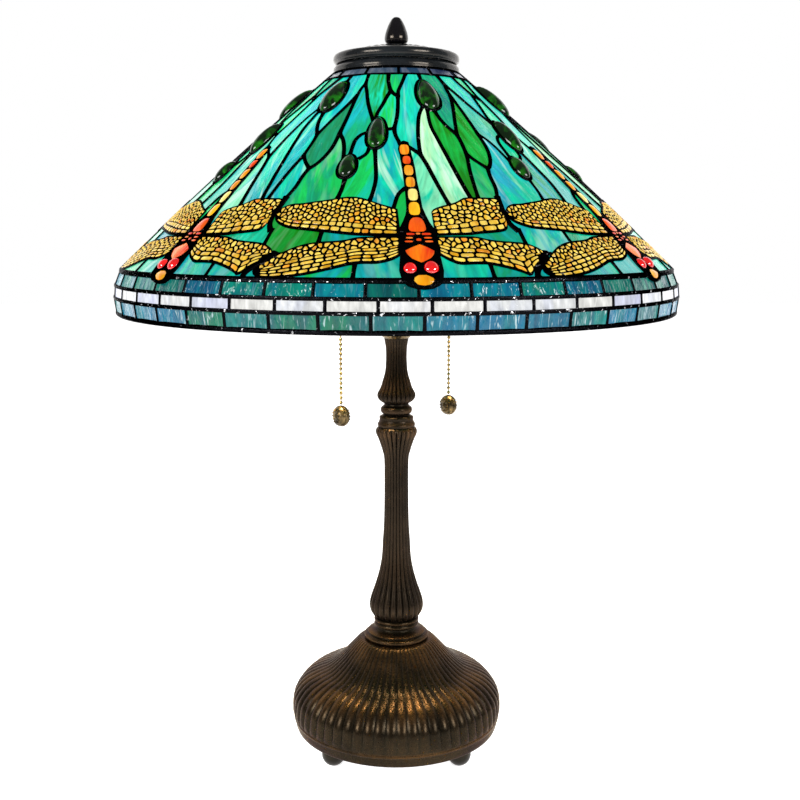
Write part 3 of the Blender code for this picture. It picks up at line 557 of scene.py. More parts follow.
class Paint:
    """A Principled material and short ways to add nodes to it."""

    def __init__(self, name, roughness=0.4, metallic=0.0, **sockets):
        self.material = bpy.data.materials.new(name)
        self.material.use_nodes = True
        self.tree = self.material.node_tree
        self.shader = self.tree.nodes["Principled BSDF"]
        self.set("Roughness", roughness)
        self.set("Metallic", metallic)
        for key, value in sockets.items():
            self.set(key.replace("_", " "), value)

    def set(self, socket, value):
        """A socket's value, or what is linked to it."""
        if isinstance(value, bpy.types.NodeSocket):
            self.tree.links.new(value, self.shader.inputs[socket])
        else:
            self.shader.inputs[socket].default_value = value

    def node(self, kind, inputs=(), **settings):
        made = self.tree.nodes.new(kind)
        for key, value in settings.items():
            setattr(made, key, value)
        for key, value in dict(inputs).items():
            if isinstance(value, bpy.types.NodeSocket):
                self.tree.links.new(value, made.inputs[key])
            else:
                made.inputs[key].default_value = value
        return made

    def attribute(self, name, output="Vector"):
        return self.node("ShaderNodeAttribute", attribute_name=name).outputs[output]

    def grey(self, value):
        """One value as a colour."""
        return self.node("ShaderNodeCombineColor", {0: value, 1: value, 2: value}).outputs[0]

    def position(self):
        return self.node("ShaderNodeTexCoord").outputs["Object"]

    def stretched(self, vector, scale):
        return self.node("ShaderNodeMapping", {"Vector": vector, "Scale": scale}).outputs["Vector"]

    def noise(self, vector, scale, detail=3.0, distortion=0.0, roughness=0.5):
        inputs = {"Vector": vector, "Scale": scale, "Detail": detail, "Distortion": distortion,
                  "Roughness": roughness}
        return self.node("ShaderNodeTexNoise", inputs).outputs["Fac"]

    def ramp(self, factor, low, high, start=0.0, end=1.0):
        inputs = {"Value": factor, "From Min": low, "From Max": high, "To Min": start, "To Max": end}
        return self.node("ShaderNodeMapRange", inputs, clamp=True).outputs["Result"]

    def math(self, operation, a, b):
        return self.node("ShaderNodeMath", {0: a, 1: b}, operation=operation).outputs[0]

    def mix(self, factor, a, b, blend="MIX"):
        made = self.tree.nodes.new("ShaderNodeMix")
        made.data_type = "RGBA"
        made.blend_type = blend
        for index, value in ((0, factor), (6, a), (7, b)):
            if isinstance(value, bpy.types.NodeSocket):
                self.tree.links.new(value, made.inputs[index])
            else:
                made.inputs[index].default_value = value
        return made.outputs[2]

    def bump(self, height, distance, strength=1.0):
        made = self.node("ShaderNodeBump", {"Height": height, "Distance": distance, "Strength": strength})
        self.set("Normal", made.outputs["Normal"])


def glass_paint(name, ripple, glow, gloss=0.12, stretch=(1.0, 0.22, 1.0), ripple_scale=420.0,
                wisps_and_glints=(38.0, 0.52, 0.66), pale=(0.62, 0.94, 0.70)):
    """Streaky opalescent glass that the lamp lights from behind. Its pale marks are opal wisps, and on the
    ripple glass painted highlight streaks.
    """
    paint = Paint(name, roughness=gloss, Specular_IOR_Level=0.32)
    flow = paint.attribute("flow")
    along = paint.stretched(flow, stretch)
    clouds = paint.noise(along, 55.0, 4.0, 1.6)
    fine = paint.noise(along, 210.0, 3.0, 0.8)
    tint, streak = paint.attribute("tint", "Color"), paint.attribute("streak", "Color")
    colour = paint.mix(paint.ramp(clouds, 0.42, 0.60), tint, streak)
    colour = paint.mix(1.0, colour, paint.grey(paint.ramp(fine, 0.3, 0.7, 0.76, 1.18)), "MULTIPLY")
    # The pale marks: opal wisps in most glass; on the ripple glass, thin painted highlight streaks that stand
    # in for light glinting through it
    scale, low, high = wisps_and_glints
    wisp = paint.ramp(paint.noise(along, scale, 3.0, 2.2), low, high)
    colour = paint.mix(paint.math("MULTIPLY", wisp, paint.attribute("wisp", "Fac")), colour, (*pale, 1))
    paint.set("Base Color", paint.mix(1.0, colour, (0.13, 0.13, 0.13, 1), "MULTIPLY"))
    lit = paint.grey(paint.attribute("glow", "Fac"))
    paint.set("Emission Color", paint.mix(1.0, colour, lit, "MULTIPLY"))
    paint.set("Emission Strength", glow)
    waves = paint.noise(paint.stretched(flow, (1.0, 0.3, 1.0)), ripple_scale, 2.0, 0.6)
    paint.bump(waves, ripple)
    return paint.material


def jewel_paint(name, deep, bright, glow, gloss):
    """Thick coloured glass: dark in its body, brighter where the light gets through its edge."""
    paint = Paint(name, roughness=0.07, Specular_IOR_Level=gloss)
    rim = paint.attribute("rim", "Fac")
    cells = paint.noise(paint.attribute("flow"), 110.0, 2.0, 0.6)
    gleam = paint.math("MULTIPLY", paint.ramp(cells, 0.46, 0.74), paint.ramp(rim, 0.4, 1.0, 0.25, 1.0))
    colour = paint.mix(gleam, (*deep, 1), (*bright, 1))
    paint.set("Base Color", colour)
    paint.set("Emission Color", colour)
    paint.set("Emission Strength", glow)
    paint.bump(cells, 0.00015)
    return paint.material


def lead_paint(name, patch_scale, bare, shine):
    """Blackened came with brighter solder where it shows."""
    paint = Paint(name, roughness=0.3, metallic=1.0, Specular_Tint=(0.16, 0.16, 0.17, 1))
    where = paint.position()
    patches = paint.noise(where, patch_scale, 4.0, 0.8)
    bright = paint.ramp(patches, bare, bare + 0.05)
    paint.set("Base Color", paint.mix(bright, (0.004, 0.004, 0.005, 1), (shine, shine, shine * 1.03, 1)))
    paint.set("Roughness", paint.ramp(paint.noise(where, 300.0), 0.3, 0.7, 0.20, 0.38))
    paint.bump(paint.noise(where, 620.0, 3.0), 0.0005)
    return paint.material


def bronze_paint(name, dark=(0.0075, 0.0058, 0.0034), rubbed=(0.26, 0.12, 0.036), polish=0.27, worn=0.26,
                 metallic=0.75, grain=0.00003):
    """Dark patinated casting, rubbed to copper along its crowns."""
    paint = Paint(name, roughness=polish, metallic=metallic, Specular_Tint=(0.5, 0.42, 0.33, 1))
    where = paint.position()
    cloud = paint.noise(where, 28.0, 5.0, 0.5)
    speck = paint.noise(where, 520.0, 3.0)
    base = paint.mix(paint.ramp(cloud, 0.35, 0.68), (*dark, 1), (*[c * 1.8 for c in dark], 1))
    wear = paint.math("MULTIPLY", paint.attribute("wear", "Fac"), paint.ramp(cloud, 0.38, 0.62, 0.15, 1.0))
    paint.set("Base Color", paint.mix(paint.math("MULTIPLY", wear, worn), base, (*rubbed, 1)))
    paint.set("Roughness", paint.ramp(speck, 0.3, 0.7, polish - 0.05, polish + 0.10))
    paint.bump(speck, grain)
    return paint.material


def metal_paint(name, colour, roughness, grain=600.0, depth=0.00006, aged=0.5):
    """Plain worked metal with a slight grain and darker patches."""
    paint = Paint(name, roughness=roughness, metallic=0.95)
    where = paint.position()
    cloud = paint.noise(where, 70.0, 4.0)
    dark = tuple(c * (1 - aged) for c in colour)
    paint.set("Base Color", paint.mix(paint.ramp(cloud, 0.35, 0.65), (*colour, 1), (*dark, 1)))
    fine = paint.noise(where, grain, 3.0)
    paint.set("Roughness", paint.ramp(fine, 0.3, 0.7, roughness * 0.8, min(1.0, roughness * 1.3)))
    paint.bump(fine, depth)
    return paint.material


def dull_paint(name, colour, roughness, grain, depth):
    """Rubber, ceramic and the like, with a fine surface."""
    paint = Paint(name, roughness=roughness)
    fine = paint.noise(paint.position(), grain, 3.0)
    darker = tuple(c * 0.72 for c in colour)
    paint.set("Base Color", paint.mix(paint.ramp(fine, 0.35, 0.65), (*colour, 1), (*darker, 1)))
    paint.bump(fine, depth)
    return paint.material


def bulb_paint(name):
    """Frosted glass, lit from inside."""
    paint = Paint(name, roughness=0.25)
    cloud = paint.noise(paint.position(), 60.0, 2.0)
    colour = paint.mix(paint.ramp(cloud, 0.3, 0.7), (1.0, 0.86, 0.62, 1), (1.0, 0.80, 0.52, 1))
    paint.set("Base Color", colour)
    paint.set("Emission Color", colour)
    paint.set("Emission Strength", 7.0)
    return paint.material


def make_paints():
    """Every material, by the name that the pieces ask for."""
    return {
        "glass": glass_paint("leaded_glass", 0.00035, 1.12),
        # The ripple glass's thin white-cyan streaks are painted highlights of light glinting through the
        # ripples
        "ripple": glass_paint("ripple_glass", 0.0012, 1.0, 0.07, (1.0, 0.14, 1.0), 300.0, (260.0, 0.58, 0.66),
                              (0.70, 0.92, 0.96)),
        "opal": glass_paint("opal_glass", 0.0004, 1.0, 0.12),
        "slate": glass_paint("slate_glass", 0.0005, 0.55, 0.10, wisps_and_glints=(90.0, 0.50, 0.62),
                             pale=(0.42, 0.46, 0.58)),
        "gold": glass_paint("gold_glass", 0.0003, 0.92, 0.14, pale=(1.0, 0.66, 0.12)),
        "jewel": jewel_paint("green_jewel", (0.0004, 0.005, 0.0004), (0.006, 0.12, 0.003), 0.9, 0.3),
        "eye": jewel_paint("red_jewel", (0.36, 0.0006, 0.001), (0.78, 0.004, 0.003), 0.75, 0.9),
        "lead": lead_paint("lead_came", 240.0, 0.67, 0.30),
        "solder": lead_paint("bright_solder", 300.0, 0.63, 0.62),
        "bronze": bronze_paint("patinated_bronze"),
        "stem_bronze": bronze_paint("stem_bronze", (0.0085, 0.0065, 0.0045), (0.22, 0.11, 0.045), 0.29, 0.25),
        "cap": bronze_paint("cap_bronze", (0.006, 0.0075, 0.009), (0.02, 0.022, 0.025), 0.15, 0.25, 0.2,
                            0.00002),
        "finial": bronze_paint("finial_gloss", (0.002, 0.002, 0.003), (0.01, 0.01, 0.01), 0.10, 0.1, 0.0,
                               0.000005),
        "foot": bronze_paint("foot_bronze", (0.004, 0.004, 0.003), (0.04, 0.03, 0.02), 0.16, 0.2, 0.3),
        "antique": metal_paint("antique_brass", (0.20, 0.14, 0.065), 0.30, 420.0, 0.0002, 0.85),
        "chain": metal_paint("chain_brass", (0.40, 0.29, 0.12), 0.26, 700.0, 0.00003, 0.5),
        "brass": metal_paint("plain_brass", (0.62, 0.45, 0.20), 0.32),
        "steel": metal_paint("plain_steel", (0.46, 0.46, 0.47), 0.38),
        "iron": metal_paint("cast_iron", (0.10, 0.10, 0.10), 0.68, 240.0, 0.0004),
        "rubber": dull_paint("black_rubber", (0.022, 0.022, 0.022), 0.7, 700.0, 0.0001),
        "ceramic": dull_paint("ceramic", (0.75, 0.72, 0.66), 0.45, 300.0, 0.00008),
        "bulb": bulb_paint("lit_bulb"),
    }


# ---------------------------------------------------------------- lead and jewels

# A lead line's section: share of its width across, millimetres above the glass
CAME = (
    (-0.5, -0.2), (-0.42, 0.55), (-0.19, 0.95), (0.19, 0.95), (0.42, 0.55), (0.5, -0.2), (0.40, -3.3),
    (-0.40, -3.3),
)


def came(build, path, width, place=on_cone, closed=False, swell=0.25, lift=1.0):
    """A strip of lead along a path of the drawing, through the glass and proud on both sides."""
    count = len(path)
    points = []
    for i, point in enumerate(path):
        here = place(*point)
        before = place(*path[(i - 1) % count if closed else max(i - 1, 0)])
        after = place(*path[(i + 1) % count if closed else min(i + 1, count - 1)])
        normal = (place(*point, 1.0) - here).normalized()
        side = (after - before).normalized().cross(normal)
        grow = 1.0
        if not closed:
            grow += swell * max(0.0, 1 - min(i, count - 1 - i) / 1.5)
        for x, h in CAME:
            rise = h * lift if h > 0 else h
            points.append(here + side * (x * width * grow * MM) + normal * (rise * MM))
    sides = len(CAME)
    faces = ring_faces(count, sides, closed)
    if not closed:
        faces.append(tuple(range(sides))[::-1])
        faces.append(tuple((count - 1) * sides + k for k in range(sides)))
    build.add(points, faces)


def full_circle(level):
    """A path right round the shade at one level of the drawing."""
    return [(step * 1.5, level) for step in range(240)]


def mm_per_degree(slant):
    """Millimetres round the cone for one degree, at a level of the drawing."""
    return 1000 * cone_at(cone_share(slant))[0] * math.pi / 180


def line_path(line, pitch=3.2):
    """A lead line's drawn points, smoothed and evenly spaced, scaled truly for its own radius."""
    scale = mm_per_degree(sum(s for _, s in line) / len(line))
    curve = catmull([(a * scale, s) for a, s in line], 6)
    return [(p.x / scale, p.y) for p in spaced(curve, pitch)]


def extended(line, reach=2.5):
    """The line run on a little at both ends, so that it surely meets what it ends on."""
    scale = mm_per_degree(sum(s for _, s in line) / len(line))
    points = [Vector((a * scale, s)) for a, s in line]
    points[0] += (points[0] - points[1]).normalized() * reach
    points[-1] += (points[-1] - points[-2]).normalized() * reach
    return [(p.x / scale, p.y) for p in points]


def cabochon_ring(jewel, grow=0.0, sides=28):
    """An egg-shaped outline round a jewel, from its centre and half sizes in millimetres."""
    a, s, wide, long = jewel
    scale = mm_per_degree(s)
    ring = []
    for step in range(sides):
        angle = 2 * math.pi * step / sides
        x = (wide + grow) * math.sin(angle) * (1 + 0.08 * math.cos(angle))
        y = (long + grow) * math.cos(angle)
        ring.append((a + x / scale, s + y))
    return ring


def dome(build, centre, ring, height, levels=6, floor=-2.6):
    """A domed jewel over a ring of drawn points, closed below."""
    points, rims, flows = [], [], []

    def put(a, s, rise, rim):
        points.append(on_cone(a, s, rise))
        rims.append(rim)
        flows.append((a * FLOW_PER_DEGREE, s * MM, 0.0))

    for level in range(levels):
        angle = math.pi / 2 * level / levels
        shrink, rise = math.cos(angle), height * math.sin(angle)
        for a, s in ring:
            put(centre[0] + (a - centre[0]) * shrink, centre[1] + (s - centre[1]) * shrink, rise, shrink)
    put(*centre, height, 0.0)
    for a, s in ring:
        put(a, s, floor, 1.0)
    count = len(ring)
    faces = ring_faces(levels, count, closed=False)
    tip, last = levels * count, (levels - 1) * count
    for i in range(count):
        j = (i + 1) % count
        faces.append((last + i, last + j, tip))
        faces.append((tip + 1 + j, j, i, tip + 1 + i))
    faces.append(tuple(tip + 1 + i for i in range(count))[::-1])
    build.add(points, faces, rim=rims, flow=flows)


def make_leads(paints):
    """Every line, seam and jewel of one repeat, as (name, build, paint, slot)."""
    leads, seams, jewels, eyes = Build(), Build(), Build(), Build()
    for line in LEAD_LINES:
        came(leads, line_path(line), LINE_WIDTH)
    for jewel in CABOCHONS:
        came(leads, cabochon_ring(jewel, 1.0), JEWEL_RING_WIDTH, closed=True, lift=1.5)
        dome(jewels, jewel[:2], cabochon_ring(jewel), 5.6 if jewel[3] < 15 else 7.0)
    for seam in SOLDER_SEAMS:
        came(seams, line_path(seam), SEAM_WIDTH, lift=1.4)
    for a, s, radius in EYES:
        ring = cabochon_ring((a, s, radius * 0.92, radius), 0.0, 20)
        dome(eyes, (a, s), ring, radius * 0.75, floor=0.4)
    return (
        ("leads", leads, paints["lead"], "lead"),
        ("solder", seams, paints["lead"], "lead"),
        ("jewels", jewels, paints["jewel"], "belt_glass"),
        ("eyes", eyes, paints["eye"], "amber_glass"),
    )


# ---------------------------------------------------------------- dragonflies

def plate(build, outline, holes, bottom=-2.4, top=1.35, crease=()):
    """A flat sheet of came with holes: its face, the walls of every hole and its back."""
    points, spans = [], []
    for loop in (outline, *holes):
        spans.append(list(range(len(points), len(points) + len(loop))))
        points.extend(Vector(p) for p in loop)
    points.extend(p for p in crease if inside(p, outline) and not any(inside(p, hole) for hole in holes))
    verts, _, faces, _, _, owners = delaunay_2d_cdt(points, [], spans, 1, 1e-5)
    kept = [face for face, owner in zip(faces, owners) if owner == [0]]
    where = [drawn(v) for v in verts]
    shape = [on_cone(a, s, height) for height in (top, bottom) for a, s in where]
    build.add(shape, sheet_faces(kept, len(verts)))


def pillow(build, cell, rise, base=0.2, bottom=-2.2, turn=0.0, **values):
    """A domed piece of glass that fills one cell."""
    middle = sum(cell, Vector((0, 0))) / len(cell)
    count = len(cell)
    layers = [(p, base) for p in cell] + [(middle.lerp(p, 0.62), base + rise * 0.75) for p in cell]
    layers += [(middle, base + rise)] + [(p, bottom) for p in cell]
    points = [on_cone(*drawn(p), height) for p, height in layers]
    flows = [(p.x * MM + turn, p.y * MM, turn) for p, _ in layers]
    faces = []
    for i in range(count):
        j = (i + 1) % count
        faces.append((i, j, count + j, count + i))
        faces.append((count + i, count + j, 2 * count))
        faces.append((2 * count + 1 + j, j, i, 2 * count + 1 + i))
    faces.append(tuple(2 * count + 1 + i for i in range(count))[::-1])
    build.add(points, faces, flow=flows, **values)


def clip(polygon, point, normal):
    """The part of a polygon on the far side of a line from its normal."""
    kept = []
    for a, b in around(polygon):
        da, db = (a - point).dot(normal), (b - point).dot(normal)
        if da <= 0:
            kept.append(a)
        if da * db < 0:
            kept.append(a.lerp(b, da / (da - db)))
    return kept


def rounded(polygon, share=0.24):
    """The polygon without its near-double points, with its corners cut off."""
    slim = [p for i, p in enumerate(polygon) if (p - polygon[i - 1]).length > 0.55]
    made = []
    for i, here in enumerate(slim):
        before, after = slim[i - 1], slim[(i + 1) % len(slim)]
        made.append(here.lerp(before, share))
        made.append(here.lerp(after, share))
    return made


def along_run(points, share):
    """The point a share of the way along a run of points."""
    lengths = [0.0]
    for a, b in zip(points, points[1:]):
        lengths.append(lengths[-1] + (b - a).length)
    wanted = share * lengths[-1]
    for i in range(len(points) - 1):
        if wanted <= lengths[i + 1]:
            return points[i].lerp(points[i + 1], (wanted - lengths[i]) / (lengths[i + 1] - lengths[i]))
    return points[-1]


def wing_place(upper, lower, u, v):
    """A point of a wing: u from root to tip, v from its upper to its lower edge, inside its border."""
    u = WING_BORDER / WING_LENGTH + (1 - 2 * WING_BORDER / WING_LENGTH) * u
    top, bottom = along_run(upper, u), along_run(lower, u)
    height = max((bottom - top).length, 0.1)
    margin = min(WING_BORDER / height, 0.48)
    return top.lerp(bottom, margin + (1 - 2 * margin) * v)


def cell_seeds(upper, lower, split, rng):
    """One point for each cell over the upper part of a wing, in uneven rows."""
    length = (along_run(upper, 1) - along_run(upper, 0)).length
    columns = max(6, round(length / 4.0))
    seeds = []
    for column in range(columns):
        u = (column + 0.5) / columns
        height = (wing_place(upper, lower, u, 0) - wing_place(upper, lower, u, split)).length
        rows = max(1, round(height / 4.5))
        for row in range(rows):
            v = split * (row + 0.5 + 0.5 * (column % 2) - 0.25) / rows
            moved = min(max(u + rng.uniform(-0.3, 0.3) / columns, 0), 1)
            at = wing_place(upper, lower, moved, min(v, split))
            seeds.append(at + Vector((rng.uniform(-0.8, 0.8), rng.uniform(-0.8, 0.8))))
    return seeds


def cell_round(seed, seeds, outline, lean, net):
    """The part of the outline nearest to one seed, less half a line of lead all round."""
    cell = outline
    for other in seeds:
        gap = other - seed
        if other is seed or gap.length > 14:
            continue
        normal = Vector((gap.x, gap.y * 0.72 + gap.x * 0.1 * lean)).normalized()
        cell = clip(cell, seed.lerp(other, 0.5) - normal * (net / 2), normal)
        if len(cell) < 3:
            return []
    return cell


def small_cells(upper, lower, split, rng, net=1.3):
    """Leaning, irregular cells over the upper part of a wing."""
    steps = 30
    outline = [wing_place(upper, lower, i / steps, 0) for i in range(steps + 1)]
    outline += [wing_place(upper, lower, i / steps, split) for i in reversed(range(steps + 1))]
    seeds = cell_seeds(upper, lower, split, rng)
    cells = [cell_round(seed, seeds, outline, 0.9 * (rng.random() - 0.5), net) for seed in seeds]
    return [cell for cell in cells if cell and abs(area(cell)) > 2.2]


def long_cells(upper, lower, split, rows, rng, net=1.25):
    """Rows of bars along the lower part of a wing."""
    cells = []
    length = (along_run(lower, 0.9) - along_run(lower, 0)).length
    for row in range(rows):
        low = split + (1 - split) * row / rows
        high = split + (1 - split) * (row + 1) / rows
        u = 0.0
        while u < 0.985:
            end = min(u + rng.uniform(5.0, 9.5) / length, 1.0)
            if 1.0 - end < 0.03:
                end = 1.0
            middle = (u + end) / 2
            tall = (wing_place(upper, lower, middle, low) - wing_place(upper, lower, middle, high)).length
            if tall < 1.7:
                break
            inset_v = net / 2 / tall * (high - low)
            inset_u = min(net / 2 / length, (end - u) / 4)
            start, reach = u + inset_u, end - u - 2 * inset_u
            bar = [wing_place(upper, lower, start + reach * t, low + inset_v) for t in (0, 0.5, 1)]
            bar += [wing_place(upper, lower, start + reach * t, high - inset_v) for t in (1, 0.5, 0)]
            if abs(area(bar)) > 3.0:
                cells.append(bar)
            u = end
    return cells


def oriented(polygon):
    """The polygon with a positive area."""
    return polygon if area(polygon) > 0 else polygon[::-1]


def wing_colours(tone):
    """The two colours of a wing's cell: mostly gold, one in twenty orange."""
    if tone > 0.94:
        return srgb(240, 140, 20), srgb(250, 176, 40)
    return blend_colours(srgb(222, 160, 16), srgb(246, 200, 50), tone), srgb(255, 222, 96)


def make_wings():
    """The nets and gold glass of one dragonfly's four wings."""
    rng = random.Random(11)
    net, gold = Build(), Build()
    for upper, lower, split, rows in WINGS:
        top = catmull(flat(upper), 3)
        bottom = catmull(flat(lower), 3)
        cells = small_cells(top, bottom, split, rng) + long_cells(top, bottom, split, rows, rng)
        cells = [oriented(rounded(cell)) for cell in cells]
        cells = [cell for cell in cells if len(cell) >= 6]
        plate(net, oriented(spaced([*top, *reversed(bottom)], 3.0)), cells, top=0.95)
        for cell in cells:
            tint, streak = wing_colours(rng.random())
            pillow(gold, cell, 0.75, base=0.7, tint=opaque(tint), streak=opaque(streak), wisp=0.3,
                   glow=rng.uniform(0.78, 1.06), turn=rng.uniform(0, 1))
    return net, gold


def oval(a, s, wide_top, wide_low, half, sides=16):
    """A squared oval cell, from its drawn centre, its half-widths in degrees and its half-length."""
    points = []
    for step in range(sides):
        angle = 2 * math.pi * step / sides
        y = math.cos(angle)
        bulge = abs(math.sin(angle)) ** 0.6 * (1 if math.sin(angle) > 0 else -1)
        wide = wide_top + (wide_low - wide_top) * (y + 1) / 2
        down = half * abs(y) ** 0.7 * (1 if y > 0 else -1)
        points.append(Vector(((a + bulge * wide) * MM_PER_DEGREE, s + down)))
    return oriented(points)


def make_body():
    """The black plate of head, thorax and tail, and the amber glass that fills it."""
    rng = random.Random(5)
    net, amber = Build(), Build()
    cells = [(oval(*segment), 1.3, tone) for *segment, tone in SEGMENTS]
    cells += [(oval(a, s, wide, wide, half, 8), 0.5, "red") for a, s, wide, half in THORAX_CELLS]
    for shape, rise, tone in ((SHIELD, 1.0, "flame"), (MOUTH, 0.7, "amber")):
        cells.append((oriented(spaced([*flat(shape), flat(shape)[0]], 1.6)[:-1]), rise, tone))
    shoulder = flat([(-3.4 + 0.5 * step, DRAWN_SLANT + 0.1) for step in range(16)])
    plate(net, oriented(flat(BODY_OUTLINE)), [cell for cell, _, _ in cells], top=1.4, crease=shoulder)
    for cell, rise, tone in cells:
        tint, streak = AMBERS[tone]
        pillow(amber, cell, rise, base=1.05, tint=opaque(tint), streak=opaque(streak), wisp=0.25, glow=1.0,
               turn=rng.uniform(0, 1))
    return net, amber


# ---------------------------------------------------------------- background glass

def bulb_places():
    boxes = [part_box(f"bulb_glass_{number}") for number in (1, 2)]
    return [(low + high) / 2 for low, high in boxes]


def glow_at(point, bulbs):
    """How strongly the bulbs light the glass there, about 1 over most of the shade."""
    total = sum(1 / ((point - bulb).length_squared + 0.004) for bulb in bulbs)
    return min(1.35, 0.52 + 0.0062 * total)


def dividing_lines():
    """(drawn points, closed) of each line round the glass over three repeats, and what stands over it."""
    runs = [line_path(extended(line), 5.0) for line in (*LEAD_LINES, *SOLDER_SEAMS)]
    shapes = [cabochon_ring(jewel, 0.9, 24) for jewel in CABOCHONS] + [list(BODY_OUTLINE)]
    for upper, lower, _, _ in WINGS:
        shapes.append([drawn(p) for p in spaced([*flat(upper), *flat(lower)[::-1]], 4.0)])
    lines, solids = [], []
    for shift in (-PERIOD, 0, PERIOD):
        lines += [([(a + shift, s) for a, s in run], False) for run in runs]
        moved = [[(a + shift, s) for a, s in shape] for shape in shapes]
        lines += [(shape, True) for shape in moved]
        solids += moved
    for level in (TOP_LINE, BOTTOM_LINE):
        lines.append(([(-1.5 * PERIOD + i * 3 * PERIOD / 60, level) for i in range(61)], False))
    return lines, solids


def divided(lines):
    """Points and triangles over the whole drawing, and the edges that lie along its lines."""
    points, edges = [], []
    for line, closed in lines:
        start = len(points)
        points.extend(flat(line))
        edges.extend((start + i, start + i + 1) for i in range(len(line) - 1))
        if closed:
            edges.append((start + len(line) - 1, start))
    for row in range(45):
        offset = 0.5 * (row % 2)
        points.extend(flat([((column + offset) * 1.55, 17 + row * 5.4) for column in range(-40, 41)]))
    verts, made, faces, _, origins, _ = delaunay_2d_cdt(points, edges, [], 0, 1e-4)
    return verts, faces, {frozenset(edge) for edge, origin in zip(made, origins) if origin}


def flooded(faces, walls):
    """Groups of faces that are joined without crossing a wall."""
    beside = {}
    for index, face in enumerate(faces):
        for pair in map(frozenset, around(face)):
            if pair not in walls:
                beside.setdefault(pair, []).append(index)
    near = {}
    for pair in beside.values():
        if len(pair) == 2:
            near.setdefault(pair[0], []).append(pair[1])
            near.setdefault(pair[1], []).append(pair[0])
    seen, groups = set(), []
    for index in range(len(faces)):
        if index in seen:
            continue
        stack, group = [index], []
        seen.add(index)
        while stack:
            at = stack.pop()
            group.append(faces[at])
            for other in near.get(at, ()):
                if other not in seen:
                    seen.add(other)
                    stack.append(other)
        groups.append(group)
    return groups


def repeat_regions():
    """The drawn points of the background and the pieces of one repeat, as (middle, triangles)."""
    lines, solids = dividing_lines()
    verts, faces, walls = divided(lines)
    kept = []
    for region in flooded(faces, walls):
        sizes = [abs(area([verts[i] for i in face])) for face in region]
        total = sum(sizes)
        if total < 4:
            continue
        centres = [sum((verts[i] for i in face), Vector((0, 0))) / 3 for face in region]
        middle = drawn(sum((at * size for at, size in zip(centres, sizes)), Vector((0, 0))) / total)
        probe = drawn(centres[sizes.index(max(sizes))])
        if not -PERIOD / 2 <= middle[0] < PERIOD / 2 or not TOP_LINE < probe[1] < BOTTOM_LINE:
            continue
        if not any(inside(probe, shape) for shape in solids):
            kept.append((middle, region))
    kept.sort(key=lambda row: (round(row[0][1], 1), row[0][0]))
    return [drawn(v) for v in verts], kept


def glass_piece(build, where, region, middle, lean, tints, turn, bulbs, spin):
    """One closed piece of glass, leaning very slightly so that it catches the light by itself."""
    order = list(dict.fromkeys(i for face in region for i in face))
    place = {point: index for index, point in enumerate(order)}
    top, flows, glows = [], [], []
    cosine, sine = math.cos(turn), math.sin(turn)
    for i in order:
        a, s = where[i]
        x, y = (a - middle[0]) * MM_PER_DEGREE, s - middle[1]
        point = on_cone(a, s, min(0.35, max(-0.35, lean[0] * x + lean[1] * y)))
        top.append(point)
        flows.append(((x * cosine + y * sine) * MM + spin, (y * cosine - x * sine) * MM, spin))
        glows.append(glow_at(point, bulbs))
    back = [on_cone(*where[i], -GLASS) for i in order]
    faces = sheet_faces([tuple(place[i] for i in face) for face in region], len(order))
    tint, streak, wisp = tints
    build.add(top + back, faces, flow=flows * 2, glow=glows * 2, tint=opaque(tint), streak=opaque(streak),
              wisp=wisp)


def piece_tints(middle, repeat, rng):
    """The colours of a piece, from the nearest one described, varied from one repeat to the next."""
    def distance(row):
        return math.hypot((row[0] - middle[0]) * MM_PER_DEGREE * 0.8, row[1] - middle[1])

    other = rng.choice((TURQUOISE, AQUA, SEA, GREEN, TEAL, BLUE, MINT))
    share = rng.uniform(0.0, 0.75)
    wisp_change = rng.uniform(-0.3, 0.3)
    if repeat in SIDE_COLOURS:
        own = min(SIDE_COLOURS[repeat], key=distance)
        if distance(own) < 12:
            return own[2:]
    tint, streak, wisp = min(PIECE_COLOURS, key=distance)[2:]
    if repeat:
        tint, streak = blend_colours(tint, other, share), blend_colours(streak, other, share * 0.6)
        wisp = min(1.0, max(0.0, wisp + wisp_change))
    return tint, streak, wisp


# ---------------------------------------------------------------- border, belt and rim

def on_belt(degrees, ring, share, height=0.0, phase=0.0, flat_tiles=True):
    """A point of a belt row, share of the way down from ring to ring + 1."""
    (top_r, top_z), (low_r, low_z) = BELT[ring], BELT[ring + 1]
    radius = top_r + (low_r - top_r) * share
    level = top_z + (low_z - top_z) * share
    if flat_tiles:
        step = 360 / BELT_TILES
        within = (degrees - phase) % step - step / 2
        radius *= math.cos(math.radians(step / 2)) / math.cos(math.radians(within))
    slope = Vector((low_r - top_r, low_z - top_z)).normalized()
    radius += -slope.y * height * MM
    return direction(degrees) * radius + Vector((0, 0, level + slope.x * height * MM))


